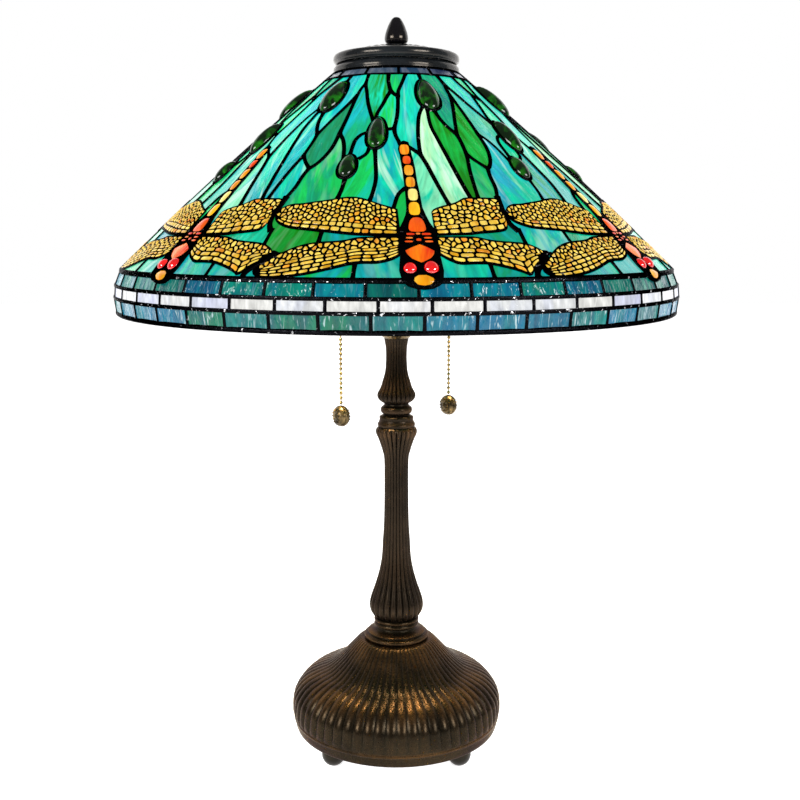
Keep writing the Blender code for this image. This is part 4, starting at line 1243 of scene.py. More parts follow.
def belt_tile(build, ring, phase, index, rng, tints, bulbs, ripple):
    """One flat tile, with ripples that run down it."""
    columns, rows = 18, 5
    waves = [(rng.uniform(0.5, 1.0), rng.uniform(1.2, 5.2), rng.uniform(0, 6.3), rng.uniform(-0.9, 0.9))
             for _ in range(5)]
    spin = rng.uniform(0, 2)
    top, back, flows, glows = [], [], [], []
    for row in range(rows + 1):
        for column in range(columns + 1):
            u, v = column / columns, row / rows
            edge = min(1.0, 6 * u, 6 * (1 - u), 4 * v, 4 * (1 - v))
            wave = sum(size * math.sin(turns * 6.28 * (u + lean * v * 0.4) + start)
                       for size, turns, start, lean in waves) / 3
            degrees = phase + (index + 0.001 + 0.998 * u) * (360 / BELT_TILES)
            point = on_belt(degrees, ring, v, ripple * wave * edge, phase)
            top.append(point)
            back.append(on_belt(degrees, ring, v, -GLASS, phase))
            flows.append((u * 0.036 + spin, v * 0.012, spin))
            glows.append(min(1.2, glow_at(point, bulbs)) * (1 + 0.18 * wave))
    tint, streak, wisp = tints
    build.add(top + back, grid_sheet(columns, rows), flow=flows * 2, glow=glows * 2, tint=opaque(tint),
              streak=opaque(streak), wisp=wisp)


def belt_place(ring, phase=0.0, flat_tiles=True):
    """on_belt for the leads over one row."""
    def place(degrees, share, height=0.0):
        return on_belt(degrees, ring, share, height, phase, flat_tiles)
    return place


# Two colours for each kind of tile in a row
UPPER_TILES = (
    (srgb(0, 124, 134), srgb(0, 92, 128)), (srgb(0, 122, 92), srgb(0, 88, 92)),
    (srgb(0, 146, 156), srgb(0, 104, 138)), (srgb(0, 92, 96), srgb(0, 128, 110)),
    (srgb(0, 140, 120), srgb(0, 112, 128)),
)
LOWER_TILES = (
    (srgb(0, 128, 156), srgb(0, 96, 132)), (srgb(0, 132, 100), srgb(0, 104, 108)),
    (srgb(0, 118, 158), srgb(0, 138, 156)), (srgb(0, 112, 124), srgb(0, 138, 132)),
)
WHITE_TILES = (
    (srgb(228, 232, 248), srgb(212, 216, 242)), (srgb(246, 248, 248), srgb(230, 234, 244)),
    (srgb(244, 244, 240), srgb(252, 252, 248)), (srgb(248, 248, 246), srgb(240, 242, 246)),
)
BORDER_COLOURS = (
    (srgb(40, 76, 112), srgb(14, 40, 74)), (srgb(96, 108, 140), srgb(40, 56, 96)),
    (srgb(20, 84, 96), srgb(10, 48, 70)), (srgb(56, 90, 120), srgb(120, 130, 150)),
)
# Each row's node, ring above it, degrees to its first joint, colours, paint, ripple in mm, pale marks
# (painted highlight streaks on the ripple rows) and slot
BELT_ROWS = (
    ("belt_upper", 0, 3.6, UPPER_TILES, "ripple", 0.20, 0.14, "belt_glass"),
    ("belt_white", 1, 5.7, WHITE_TILES, "opal", 0.10, 0.0, "white_glass"),
    ("belt_lower", 2, 4.5, LOWER_TILES, "ripple", 0.34, 0.8, "belt_glass"),
)
BELT_SEAM_WIDTHS = (3.6, 3.1, 3.1)


def make_belt(paints, bulbs):
    """The belt's three rows of tiles, the joints between them and the seams between the rows."""
    rng = random.Random(23)
    for node, ring, phase, palette, paint, ripple, wisp, slot in BELT_ROWS:
        build = Build()
        for index in range(BELT_TILES):
            tints = (*rng.choice(palette), wisp * rng.uniform(0.4, 1.0))
            belt_tile(build, ring, phase, index, rng, tints, bulbs, ripple)
        build.finish(f"{node}_tiles", paints[paint], "shade", [node], slot, sharp=50)
    joints, seams = Build(), Build()
    for _, ring, phase, *_ in BELT_ROWS:
        for index in range(BELT_TILES):
            at = phase + index * 360 / BELT_TILES
            path = [(at, share / 4) for share in range(5)]
            came(joints, path, 2.7, belt_place(ring, phase), swell=0.2, lift=0.75)
        place = belt_place(ring, flat_tiles=False)
        came(seams, full_circle(0.0), BELT_SEAM_WIDTHS[ring], place, closed=True, lift=0.8)
    joints.finish("belt_joints", paints["lead"], "shade", slot="lead")
    seams.finish("belt_seams", paints["solder"], "shade", slot="lead")


def make_border(paints, bulbs):
    """The row of slate-blue pieces under the ring, its joints and the lines above and below it."""
    rng = random.Random(31)
    tiles, leads = Build(), Build()
    step = 360 / BORDER_TILES
    columns, rows = 10, 3
    for index in range(BORDER_TILES):
        first = 1.7 - SHADE_TURN + index * step
        tint, streak = rng.choice(BORDER_COLOURS)
        spin = rng.uniform(0, 2)
        spots = [(row, column) for row in range(rows + 1) for column in range(columns + 1)]
        where = [(first + column / columns * step, 0.4 + (TOP_LINE - 0.4) * row / rows)
                 for row, column in spots]
        points = [on_cone(a, s, height) for height in (-0.1, -GLASS) for a, s in where]
        flows = [(column * 0.0026 + spin, row * 0.004, spin) for row, column in spots]
        tiles.add(points, grid_sheet(columns, rows), flow=flows * 2, glow=0.9, tint=opaque(tint),
                  streak=opaque(streak), wisp=rng.uniform(0.0, 0.4))
        came(leads, [(first, s) for s in (0.8, 4, 8, TOP_LINE)], 2.4)
    for level, width in ((0.9, 3.2), (TOP_LINE, 2.6), (BOTTOM_LINE, 3.6)):
        came(leads, full_circle(level), width, closed=True)
    tiles.finish("border_tiles", paints["slate"], "shade", ["border_row"], "blue_glass")
    leads.finish("cone_seams", paints["lead"], "shade", slot="lead")


def make_rim(paints):
    """The round bead of lead along the shade's lower edge."""
    rim = Build()
    edge = BELT[3][0] - 0.0010
    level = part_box("rim_came")[1].z - 0.0002
    sides, section = 200, 10
    points = []
    for i in range(sides):
        across = direction(360 * i / sides)
        for k in range(section):
            angle = 2 * math.pi * k / section
            up = Vector((0, 0, level + RIM_RADIUS * math.sin(angle)))
            points.append(across * (edge + RIM_RADIUS * math.cos(angle)) + up)
    rim.add(points, ring_faces(sides, section, closed=True))
    rim.finish("rim_bead", paints["lead"], "shade", ["rim_came"], "lead")


def make_background(paints, where, regions, repeat, turn, bulbs):
    """The background glass of one repeat, drawn at the front, lit as it is where it stands, and turned."""
    turned_bulbs = [turn.inverted() @ bulb for bulb in bulbs]
    rng = random.Random(101 + repeat)
    build = Build()
    for middle, region in regions:
        lean = (rng.uniform(-0.02, 0.02), rng.uniform(-0.010, 0.010))
        tints = piece_tints(middle, repeat, rng)
        glass_piece(build, where, region, middle, lean, tints, rng.uniform(-0.35, 0.35), turned_bulbs,
                    rng.uniform(0, 3))
    number = repeat + 1
    build.finish(f"cone_glass_{number}", paints["glass"], "shade", [f"cone_panel_{number}"], "teal_glass",
                 matrix=turn)


def make_shade(paints, bulbs):
    """The glass and leads of the shade; what the repeats share is one mesh, turned on each time."""
    where, regions = repeat_regions()
    net, gold = make_wings()
    body, amber = make_body()
    shared = [
        ("wing_net", net, paints["lead"], "lead"),
        ("wing_glass", gold, paints["gold"], "amber_glass"),
        ("body_plate", body, paints["lead"], "lead"),
        ("body_glass", amber, paints["gold"], "amber_glass"),
        *make_leads(paints),
    ]
    meshes = {}
    for repeat in range(REPEATS):
        number = repeat + 1
        turn = Matrix.Rotation(math.radians(PERIOD) * repeat, 4, "Z")
        step = Matrix.Rotation(math.radians(PERIOD), 4, "Z") if repeat else None
        make_background(paints, where, regions, repeat, turn, bulbs)
        for name, shape, paint, slot in shared:
            nodes = [f"dragonfly_{number}"] if name == "wing_net" else ()
            made = shape.finish(f"{name}_{number}", paint, "shade", nodes, slot, mesh=meshes.get(name),
                                matrix=step)
            meshes[name] = made.data
    make_border(paints, bulbs)
    make_belt(paints, bulbs)
    make_rim(paints)


# ---------------------------------------------------------------- turned work

def lathe(build, outline, sides=48, flutes=0, matrix=None):
    """A turned solid about Z. A row of the outline is (radius, height[, flute depth[, wear]])."""
    sides = flutes * 8 if flutes else sides
    rows = [(*row, 0.0, 0.0)[:4] for row in outline]
    points, wears = [], []
    for step in range(sides):
        angle = 2 * math.pi * step / sides
        wave = abs(2 * ((step / 8) % 1) - 1) if flutes else 0.0
        across = Vector((math.sin(angle), -math.cos(angle), 0))
        for radius, height, depth, wear in rows:
            cut = depth * wave ** 2.2
            points.append(across * max(radius - cut, 0) + Vector((0, 0, height)))
            wears.append(wear * (1 - wave ** 2) if flutes and depth else wear)
    count = len(rows)
    faces = []
    for step in range(sides):
        here, there = step * count, (step + 1) % sides * count
        for i in range(count):
            j = (i + 1) % count
            if rows[i][0] == 0 and rows[j][0] == 0:
                continue
            if rows[i][0] == 0:
                faces.append((here + i, there + j, here + j))
            elif rows[j][0] == 0:
                faces.append((here + i, there + i, here + j))
            else:
                faces.append((here + i, there + i, there + j, here + j))
    if matrix is not None:
        points = [matrix @ p for p in points]
    build.add(points, faces, wear=wears)


def smooth_rows(rows, step=4):
    """A turned outline's open run, smoothed; every number of a row is carried along."""
    size = max(len(row) for row in rows)
    full = [tuple(row) + (0.0,) * (size - len(row)) for row in rows]
    points = [tuple(Vector(row)) for row in full]
    made = []
    ring = [tuple(2 * x - y for x, y in zip(points[0], points[1])), *points,
            tuple(2 * x - y for x, y in zip(points[-1], points[-2]))]
    for a, b, c, d in zip(ring, ring[1:], ring[2:], ring[3:]):
        for i in range(step):
            t = i / step
            row = [0.5 * (2 * q + (r - p) * t + (2 * p - 5 * q + 4 * r - w) * t * t
                          + (3 * q - p - 3 * r + w) * t ** 3) for p, q, r, w in zip(a, b, c, d)]
            depth = max(row[2], 0) if size > 2 else 0.0
            wear = max(row[3], 0) if size > 3 else 0.0
            made.append((row[0], row[1], depth, wear))
    made.append((*points[-1], 0.0, 0.0)[:4])
    return made


def turned_piece(name, outlines, paint, body, nodes, slot, sharp=35, **settings):
    """A piece made of one or more turned solids."""
    build = Build()
    for outline in outlines:
        lathe(build, outline, **settings)
    made = build.finish(name, paint, body, nodes, slot, sharp)
    clean_turning(made, sharp)
    return made


def clamped(rows, low, high):
    """The rows of an outline with no height beyond either end of their piece."""
    return [(radius, min(max(z, low), high), *rest) for radius, z, *rest in rows]


def ball_outline(radius, angles):
    """A small ball's outline, from pole to pole."""
    turns = [math.radians(angle) for angle in angles]
    return [(0.0, -radius), *((radius * math.cos(t), radius * math.sin(t)) for t in turns), (0.0, radius)]


def box_middle(low, high):
    """The middle of a box as seen from above, at height 0."""
    return Vector(((low.x + high.x) / 2, (low.y + high.y) / 2, 0))


BASE_SHARES = (
    # share of the way out, share of the height, flute depth in mm, wear
    (0.0, 1.0, 0.5, 0.9), (0.084, 0.988, 0.7, 1.0), (0.197, 0.896, 0.9, 0.8), (0.337, 0.772, 1.1, 0.2),
    (0.506, 0.661, 1.4, 0.35), (0.674, 0.601, 1.7, 0.9), (0.815, 0.538, 1.9, 1.0), (0.913, 0.455, 1.9, 0.35),
    (0.976, 0.365, 1.8, 0.15), (0.996, 0.27, 1.6, 0.1), (0.998, 0.20, 1.3, 0.1), (0.988, 0.155, 0.8, 0.1),
)
BASE_LIP = (
    (0.979, 0.140, 0.0, 0.5), (0.984, 0.128, 0.0, 0.6), (0.980, 0.112, 0.0, 0.4), (0.972, 0.100, 0.0, 0.1),
    (0.958, 0.04, 0.0, 0.1), (0.941, 0.004, 0.0, 0.2), (0.930, 0.0, 0.0, 0.0),
)


def base_rows(shares, low, height, depth_unit):
    """A part of the base's outline in metres."""
    return [(BASE_INNER + (BASE_OUTER - BASE_INNER) * out, low + height * up, depth * depth_unit, wear)
            for out, up, depth, wear in shares]


def make_base(paints):
    """The fluted casting, hollow below."""
    low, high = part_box("base_casting")
    height = high.z - low.z
    outside = smooth_rows(base_rows(BASE_SHARES, low.z, height, MM), 5)
    outside += smooth_rows(base_rows(BASE_LIP, low.z, height, 1), 3)
    roof = high.z - 0.006
    hollow = [(max(r - 0.0042, 0.0056), min(z - 0.0032, roof)) for r, z, _, _ in reversed(outside[6:-6])]
    foot = [(outside[-1][0] - 0.003, low.z)]
    bore = [(BASE_BORE, roof), (BASE_BORE, high.z)]
    turned_piece("fluted_base", [outside + foot + hollow + bore], paints["bronze"], "stand", ["base_casting"],
                 "bronze", flutes=60)


# Each outline's rows: the ring's as (inset, share of the height), the cap's as (share of the way out,
# share of the height), the finial's as (radius in mm, share of the height), a shell's as (inset, share
# of the length) and a pull's disc as (share of the way out, share of half the thickness)
RING_ROWS = (
    (0.0, 0.0), (0.0, 0.16), (0.0, 0.40), (0.0005, 0.62), (0.0018, 0.82), (0.0034, 0.94), (0.0040, 1.0),
)
CAP_SHARES = (
    (0.064, 1.0), (0.13, 0.985), (0.27, 0.94), (0.53, 0.79), (0.78, 0.60), (0.89, 0.515), (0.935, 0.49),
    (0.968, 0.45), (0.992, 0.37), (1.0, 0.26), (0.996, 0.15), (0.978, 0.06), (0.955, 0.015), (0.945, 0.0),
)
FINIAL_ROWS = (
    (6.4, 0.0), (8.8, 0.03), (10.2, 0.09), (10.6, 0.17), (10.4, 0.28), (9.8, 0.40), (8.8, 0.53), (7.5, 0.67),
    (5.9, 0.80), (4.4, 0.90), (2.7, 0.965), (0.0, 1.0),
)
SHELL_ROWS = (
    (0.0006, 0), (0.0, 0.02), (0.0, 0.06), (0.0008, 0.09), (0.0008, 0.42), (0.0001, 0.45), (0.0001, 0.50),
    (0.0008, 0.53), (0.0008, 0.90), (0.0, 0.94), (0.0, 1.0),
)
FOB_SHARES = (
    (0.0, 1.0), (0.10, 0.97), (0.20, 0.93), (0.24, 0.86), (0.30, 0.86), (0.34, 0.92), (0.52, 0.84),
    (0.68, 0.74), (0.74, 0.64), (0.79, 0.62), (0.83, 0.62), (0.92, 0.45), (0.97, 0.30), (0.985, 0.16),
    (0.95, 0.13), (0.94, 0.09),
)
STEM_FLUTES = 1.5  # how much deeper the stem's flutes are cut than its outline table says
STEM_PARTS = (
    # node, CAD outline as (radius mm, share of height, flute depth mm, wear), flutes
    ("base_collar", ((29.2, 0.0, 0, 0.2), (30.6, 0.10, 0, 0.6), (30.9, 0.22, 0, 0.7),
                    (30.3, 0.35, 0, 0.5), (27.4, 0.44, 0, 0.0), (27.0, 0.50, 0, 0.1),
                    (27.5, 0.58, 0, 0.9), (25.6, 0.66, 0, 0.8), (21.8, 0.76, 0, 0.2),
                    (19.9, 0.88, 0, 0.0), (19.5, 1.0, 0, 0.0)), 0),
    ("stem_bead", ((19.6, 0.0, 0, 0), (21.0, 0.10, 0, 0.2), (21.5, 0.24, 0, 0.4), (21.1, 0.40, 0, 0.1),
                    (20.3, 0.50, 0, 0), (21.1, 0.60, 0, 0.1), (21.5, 0.76, 0, 0.4), (21.0, 0.90, 0, 0.1),
                    (19.6, 1.0, 0, 0)), 0),
    ("stem_lower", ((19.6, 0.0, 0.2, 0.1), (22.8, 0.014, 0.7, 0.2), (24.9, 0.035, 1.2, 0.3),
                    (26.0, 0.070, 1.5, 0.3), (24.1, 0.114, 1.4, 0.2), (19.9, 0.179, 1.2, 0.2),
                    (16.1, 0.254, 1.0, 0.3), (14.0, 0.324, 0.8, 0.3), (13.2, 0.400, 0.7, 0.2),
                    (12.3, 0.470, 0.6, 0.2), (11.7, 0.560, 0.6, 0.2), (11.4, 0.700, 0.6, 0.2),
                    (11.6, 0.830, 0.6, 0.3), (13.3, 0.879, 0.8, 0.3), (16.9, 0.938, 1.2, 0.4),
                    (18.9, 0.962, 1.3, 0.9), (19.6, 0.980, 0.9, 1.0), (18.6, 0.993, 0.3, 1.0),
                    (17.4, 1.0, 0.1, 0.5)), 24),
    ("stem_ring", ((17.0, 0.0, 0, 0.1), (17.6, 0.06, 0, 0.3), (17.6, 0.14, 0, 0.6), (16.6, 0.22, 0, 0.3),
                    (15.9, 0.32, 0, 0.1), (15.9, 0.44, 0, 0.2), (12.8, 0.52, 0, 0), (12.6, 0.56, 0, 0),
                    (14.2, 0.62, 0, 0.3), (14.8, 0.72, 0, 0.7), (14.3, 0.84, 0, 0.4),
                    (12.0, 0.92, 0, 0.1), (11.4, 1.0, 0, 0)), 0),
    ("stem_upper", ((11.6, 0.0, 0.1, 0.3), (14.8, 0.03, 0.5, 0.3), (17.3, 0.075, 1.1, 0.3),
                    (18.1, 0.125, 1.3, 0.3), (17.3, 0.17, 1.3, 0.6), (15.0, 0.24, 1.1, 1.0),
                    (13.1, 0.34, 0.9, 0.8), (10.9, 0.47, 0.7, 0.3), (10.0, 0.62, 0.6, 0.3),
                    (9.9, 0.84, 0.6, 0.3), (11.2, 0.98, 0.4, 0.3), (11.4, 1.0, 0.0, 0.1)), 24),
)


def make_stem(paints):
    """The collar, the bead, the ring and the two fluted lengths of the stem."""
    for node, shares, flutes in STEM_PARTS:
        low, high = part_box(node)
        rows = [(radius * MM, low.z + (high.z - low.z) * share, depth * STEM_FLUTES * MM, wear)
                for radius, share, depth, wear in shares]
        outside = clamped(smooth_rows(rows, 4), low.z, high.z)
        outline = [*outside, (STEM_BORE, high.z), (STEM_BORE, low.z)]
        paint = paints["bronze"] if node in ("base_collar", "stem_bead") else paints["stem_bronze"]
        turned_piece(f"{node}_turning", [outline[::-1]], paint, "stand", [node], "bronze", flutes=flutes,
                     sides=96)


def make_feet(paints):
    """The four ball feet."""
    for number in range(1, 5):
        low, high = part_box(f"foot_{number}")
        radius = (high.x - low.x) / 2
        rows = [(0.0, 0.0), (radius * 0.42, 0.0)]
        for step in range(11):
            angle = math.radians(-60 + step * 9.0)
            rows.append((radius * math.cos(angle), 0.0098 + radius * 1.02 * math.sin(angle)))
        rows = [*clamped(rows, 0.0, high.z), (radius * 0.75, high.z), (0.0, high.z)]
        turned_piece(f"ball_foot_{number}", [rows[::-1]], paints["foot"], "stand", [f"foot_{number}"],
                     "bronze", sides=40, matrix=Matrix.Translation(box_middle(low, high)))


def make_ring(paints):
    """The ring that the shade hangs from."""
    low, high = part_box("shade_ring")
    inner = TOP_RADIUS - 0.0075
    tall = high.z - low.z
    rows = [(TOP_RADIUS - inset, low.z + tall * share, 0, 0.4) for inset, share in RING_ROWS]
    outside = smooth_rows(rows, 3)
    turned_piece("crown_ring", [[*outside, (inner, high.z), (inner, low.z)][::-1]], paints["cap"], "shade",
                 ["shade_ring"], "cap_bronze", sides=120)


def make_cap(paints):
    """The embossed cap, hollow below."""
    low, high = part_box("cap")
    rows = [(TOP_RADIUS * out, low.z + (high.z - low.z) * up, 0, 0.5) for out, up in CAP_SHARES]
    outside = smooth_rows(rows, 4)
    hollow = [(max(r - 0.0012, CAP_BORE), max(z - 0.0016, low.z)) for r, z, _, _ in reversed(outside[4:-5])]
    made = turned_piece("embossed_cap", [[*outside, *hollow, (CAP_BORE, high.z - 0.0016)]], paints["cap"],
                        "shade", ["cap"], "cap_bronze", sides=240)
    emboss(made.data, low.z, high.z)


def make_finial(paints):
    """The acorn knob, bored from below for its insert."""
    low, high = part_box("finial")
    rows = [(radius * MM, low.z + (high.z - low.z) * share, 0, 0.3) for radius, share in FINIAL_ROWS]
    outside = [(max(r, 0.0), min(z, high.z), d, w) for r, z, d, w in smooth_rows(rows, 4)]
    top = low.z + 0.0098
    bore = [(0.0, top), (STEM_BORE, top), (STEM_BORE, low.z)]
    turned_piece("acorn_finial", [[*outside, *bore][::-1]], paints["finial"], "finial_knob", ["finial"],
                 "finial_gloss", sides=56)


def emboss(mesh, low, high):
    """Raises rings of leaves on the cap's dome."""
    for vert in mesh.vertices:
        radius = math.hypot(vert.co.x, vert.co.y)
        share = radius / TOP_RADIUS
        if not 0.20 < share < 0.90 or vert.co.z < low + (high - low) * 0.47:
            continue
        angle = math.atan2(vert.co.x, vert.co.y)
        band = (share - 0.20) / 0.70
        row = min(int(band * 3), 2)
        within = band * 3 - row
        leaf = (angle * 20 / (2 * math.pi) + 0.5 * row) % 1 - 0.5
        wide = max(0.15, 1.05 - within * 0.9)
        shape = max(0.0, 1 - (2.3 * leaf / wide) ** 2) * math.sin(math.pi * within) ** 0.6
        vein = 0.25 * math.exp(-(leaf * 16) ** 2)
        vert.co.z -= 0.0011 * (1 - shape * (1 - vein))


# ---------------------------------------------------------------- lights, sockets and pulls

def socket_matrix(index):
    """Where a socket stands: out from the axis, leaning, with Z along it."""
    turn = Matrix.Rotation(SOCKET_AZIMUTH + math.pi * (1 - index), 4, "Z")
    foot = Matrix.Translation((0.030, 0, SOCKET_Z))
    return turn @ foot @ Matrix.Rotation(SOCKET_TILT, 4, "Y")


def shell_outline():
    """A socket's brass shell, beaded near its foot, its middle and its mouth."""
    rows = [(SHELL_OUTER - inset, SHELL_FOOT + SHELL_LENGTH * share) for inset, share in SHELL_ROWS]
    return [*rows, (SHELL_BORE, SHELL_FOOT + SHELL_LENGTH), (SHELL_BORE, SHELL_FOOT)]


def screw_outline():
    """A bulb's screw: its contact, five turns of thread and its top."""
    foot = SCREW_FOOT
    rows = [(0.0, foot), (0.004, foot), (0.0050, foot + 0.0022), (0.0116, foot + 0.0066)]
    for turn in range(5):
        base = foot + 0.0078 + turn * 0.0031
        rows += [(0.0122, base), (0.0130, base + 0.0009), (0.0130, base + 0.0016), (0.0122, base + 0.0024)]
    top = foot + SCREW_LENGTH
    return [*rows, (0.0130, foot + 0.0245), (0.0128, top), (0.0, top)]


def bulb_outline():
    """A bulb's thin glass, outside and inside."""
    neck = SCREW_FOOT + SCREW_LENGTH + 0.0003
    centre = neck + 0.079 - BULB_RADIUS
    rows = [(0.0132, neck), (0.0138, neck + 0.008), (0.0150, neck + 0.0165)]
    for angle in (-52, -40, -25, -10, 5, 20, 35, 50, 65, 78):
        turn = math.radians(angle)
        rows.append((BULB_RADIUS * math.cos(turn), centre + BULB_RADIUS * math.sin(turn)))
    rows = [(r, z, 0, 0) for r, z in rows] + [(0.0, centre + BULB_RADIUS, 0, 0)]
    outside = [(max(r, 0), z) for r, z, _, _ in smooth_rows(rows, 3)]
    hollow = [(max(r - 0.001, 0), z if i else neck) for i, (r, z) in enumerate(outside[:-1])]
    return [*outside, (0.0, centre + 0.029), *hollow[::-1]]


def make_sockets(paints):
    """Both sockets' shells and bulbs."""
    for index in (0, 1):
        number = index + 1
        frame = socket_matrix(index)
        turned_piece(f"lamp_shell_{number}", [shell_outline()[::-1]], paints["brass"], "stand",
                     [f"socket_shell_{number}"], "brass", sides=48, matrix=frame)
        turned_piece(f"bulb_screw_{number}", [screw_outline()[::-1]], paints["steel"], f"bulb_{number}",
                     [f"bulb_base_{number}"], "steel", sides=40, matrix=frame)
        turned_piece(f"lit_bulb_{number}", [bulb_outline()[::-1]], paints["bulb"], f"bulb_{number}",
                     [f"bulb_glass_{number}"], "bulb_glass", sides=48, matrix=frame)


def make_chain(paints, number):
    """One pull's chain of balls."""
    low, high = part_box(f"pull_chain_{number}")
    pitch = (high.z - low.z) / CHAIN_BALLS
    outline = [(0.0, low.z)]
    for step in range(CHAIN_BALLS):
        centre = low.z + (step + 0.5) * pitch
        for angle in (-70, -45, -20, 0, 20, 45, 70):
            turn = math.radians(angle)
            outline.append((CHAIN_RADIUS * math.cos(turn), centre + CHAIN_RADIUS * math.sin(turn)))
    outline.append((0.0, high.z))
    turned_piece(f"ball_chain_{number}", [outline[::-1]], paints["chain"], f"pull_{number}",
                 [f"pull_chain_{number}"], "antique_brass", sides=14, sharp=80,
                 matrix=Matrix.Translation(box_middle(low, high)))


def make_fob(paints, number):
    """One pull's disc, with a beaded edge and a rosette of petals on each face."""
    low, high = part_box(f"fob_{number}")
    middle = (low + high) / 2
    toward = Vector((middle.x, middle.y, 0)).normalized()
    frame = Matrix.Translation(middle) @ toward.to_track_quat("Z", "Y").to_matrix().to_4x4()
    radius = (high.z - low.z) / 2
    upper = [(radius * out, FOB_HALF * up) for out, up in FOB_SHARES]
    build = Build()
    lathe(build, upper + [(r, -z) for r, z in reversed(upper)], 64, matrix=frame)
    for bead in range(36):
        angle = 2 * math.pi * bead / 36
        at = Matrix.Translation((radius * 0.955 * math.cos(angle), radius * 0.955 * math.sin(angle), 0))
        lathe(build, ball_outline(0.0006, (-50, 0, 50)), 8, matrix=frame @ at)
    for side in (-1, 1):
        for petal in range(12):
            angle = 2 * math.pi * petal / 12
            across = radius * 0.55
            up = side * FOB_HALF * 0.80
            at = Matrix.Translation((across * math.cos(angle), across * math.sin(angle), up))
            turn = Matrix.Rotation(angle, 4, "Z") @ Matrix.Diagonal((1.35, 0.62, 0.75, 1))
            lathe(build, ball_outline(0.0013, (-50, -15, 15, 50)), 10, matrix=frame @ at @ turn)
    made = build.finish(f"pull_fob_{number}", paints["antique"], f"pull_{number}", [f"fob_{number}"],
                        "antique_brass")
    clean_turning(made, 50)


def make_pulls(paints):
    for number in (1, 2):
        make_chain(paints, number)
        make_fob(paints, number)


CARRIED = {
    "steel": ("base_plate", "stem_pipe", "pipe_nut"),
    "iron": ("base_weight",),
    "rubber": ("cord_grommet",),
    "brass": ("socket_cap_1", "socket_cap_2", "riser_nut", "riser_rod", "shade_support", "finial_insert"),
    "antique": ("cluster_body", "pull_lever_1", "pull_lever_2", "pull_link_1", "pull_link_2"),
    "ceramic": ("switch_block_1", "switch_block_2"),
}


def paint_carried(frame, paints):
    """Paints the CAD pieces that nothing replaces."""
    for paint, names in CARRIED.items():
        for name in names:
            mesh = frame["nodes"][name].data
            mesh.materials.clear()
            mesh.materials.append(paints[paint])


# ---------------------------------------------------------------- studio

def area_light(name, place, aim, size, power):
    lamp = bpy.data.lights.new(name, "AREA")
    lamp.energy = power
    lamp.shape = "RECTANGLE"
    lamp.size, lamp.size_y = size
    made = bpy.data.objects.new(name, lamp)
    made.location = place
    made.rotation_euler = (Vector(aim) - Vector(place)).to_track_quat("-Z", "Y").to_euler()
    bpy.context.scene.collection.objects.link(made)


def make_sheet(name, points, faces, speck_scale, light, dark, strength):
    """One sheet of the stage, white with a faint speckle and a glow of its own."""
    mesh = bpy.data.meshes.new(name)
    mesh.from_pydata(points, [], faces)
    paint = Paint(f"{name}_white", roughness=0.9)
    speck = paint.noise(paint.position(), speck_scale)
    colour = paint.mix(paint.ramp(speck, 0.3, 0.7), (light, light, light, 1), (dark, dark, dark, 1))
    paint.set("Base Color", colour)
    paint.set("Emission Color", (1, 1, 1, 1))
    paint.set("Emission Strength", strength)
    mesh.materials.append(paint.material)
    made = bpy.data.objects.new(name, mesh)
    bpy.context.scene.collection.objects.link(made)
    return made


def make_stage():
    """The floor and, for reflections only, a curved backdrop."""
    corners = ((-1, -1), (1, -1), (1, 1), (-1, 1))
    floor = [(x * FLOOR_HALF, y * FLOOR_HALF, -0.0005) for x, y in corners]
    make_sheet("floor", floor, [(0, 1, 2, 3)], 40.0, 0.95, 0.92, 0.85)
    steps = 24
    points = []
    for step in range(steps + 1):
        angle = math.radians(-75 + 150 * step / steps)
        across = Vector((math.sin(angle), math.cos(angle), 0)) * 3.2
        points += [across - Vector((0, 0, 0.3)), across + Vector((0, 0, 3.6))]
    faces = [(2 * i, 2 * i + 2, 2 * i + 3, 2 * i + 1) for i in range(steps)]
    backdrop = make_sheet("backdrop", points, faces, 3.0, 0.5, 0.48, 1.0)
    backdrop.visible_camera = False


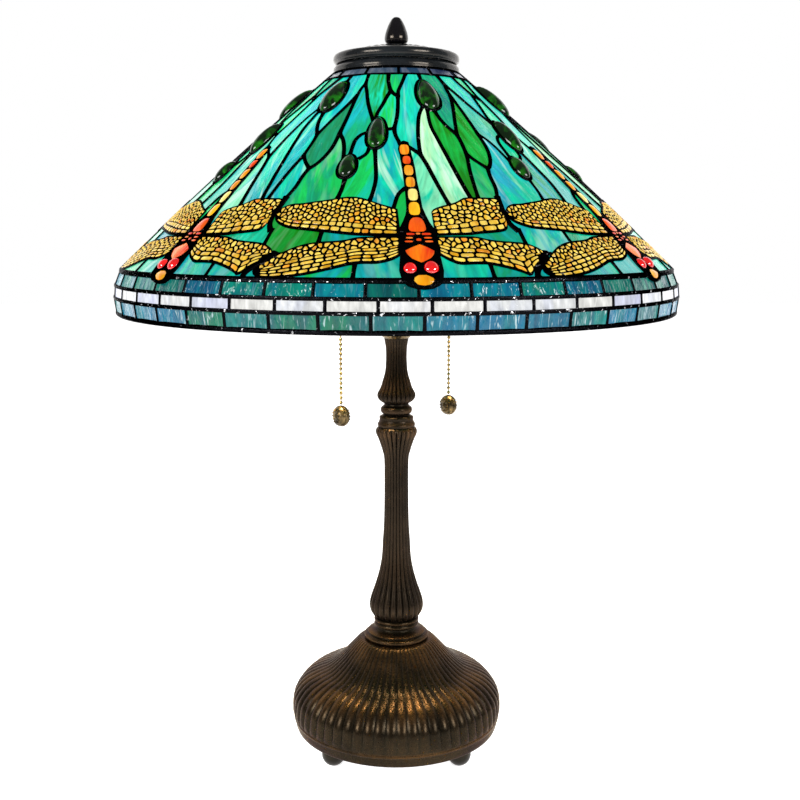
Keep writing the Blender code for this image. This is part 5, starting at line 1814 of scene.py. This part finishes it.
def make_world():
    """A white world, dimmer for everything but the view itself."""
    world = bpy.data.worlds.new("studio")
    world.use_nodes = True
    tree = world.node_tree
    tree.nodes["Background"].inputs["Color"].default_value = (1, 1, 1, 1)
    seen = tree.nodes.new("ShaderNodeLightPath").outputs["Is Camera Ray"]
    strength = tree.nodes.new("ShaderNodeMapRange")
    strength.inputs["To Min"].default_value = 0.26
    strength.inputs["To Max"].default_value = 1.0
    tree.links.new(seen, strength.inputs["Value"])
    tree.links.new(strength.outputs["Result"], tree.nodes["Background"].inputs["Strength"])
    bpy.context.scene.world = world


def make_lights(bulbs):
    """Two studio lights in front and a warm one by each bulb."""
    for name, side in (("key_left", -1), ("key_right", 1)):
        area_light(name, (side * 1.3, -1.3, 1.1), (0, 0, 0.35), (0.9, 0.5), 30)
    for number, bulb in enumerate(bulbs, 1):
        lamp = bpy.data.lights.new(f"bulb_light_{number}", "POINT")
        lamp.energy = 4.0
        lamp.color = (1.0, 0.72, 0.42)
        lamp.shadow_soft_size = 0.03
        made = bpy.data.objects.new(f"bulb_light_{number}", lamp)
        made.location = bulb + Vector((0, 0, -0.05))
        bpy.context.scene.collection.objects.link(made)


def make_camera():
    camera = bpy.data.cameras.new("camera")
    camera.lens = 48.67
    camera.sensor_width = 36
    camera.shift_x = 3.6 / 800
    camera.clip_start = 0.01
    made = bpy.data.objects.new("camera", camera)
    made.location = (0, -1.0021, 0.494)
    made.rotation_euler = (math.radians(90 - 9.08), 0, 0)
    bpy.context.scene.collection.objects.link(made)
    bpy.context.scene.camera = made
    bpy.context.scene.view_settings.view_transform = "Standard"


def make_studio(bulbs):
    make_stage()
    make_world()
    make_lights(bulbs)
    make_camera()


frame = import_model()
SHADE_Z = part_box("border_row")[1].z
SOCKET_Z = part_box("cluster_body")[0].z + 0.0435
CONE_TABLE = cone_table()
BELT = belt_rows()
bulbs = bulb_places()
paints = make_paints()
make_shade(paints, bulbs)
make_base(paints)
make_stem(paints)
make_feet(paints)
make_ring(paints)
make_cap(paints)
make_finial(paints)
make_sockets(paints)
make_pulls(paints)
paint_carried(frame, paints)
make_studio(bulbs)
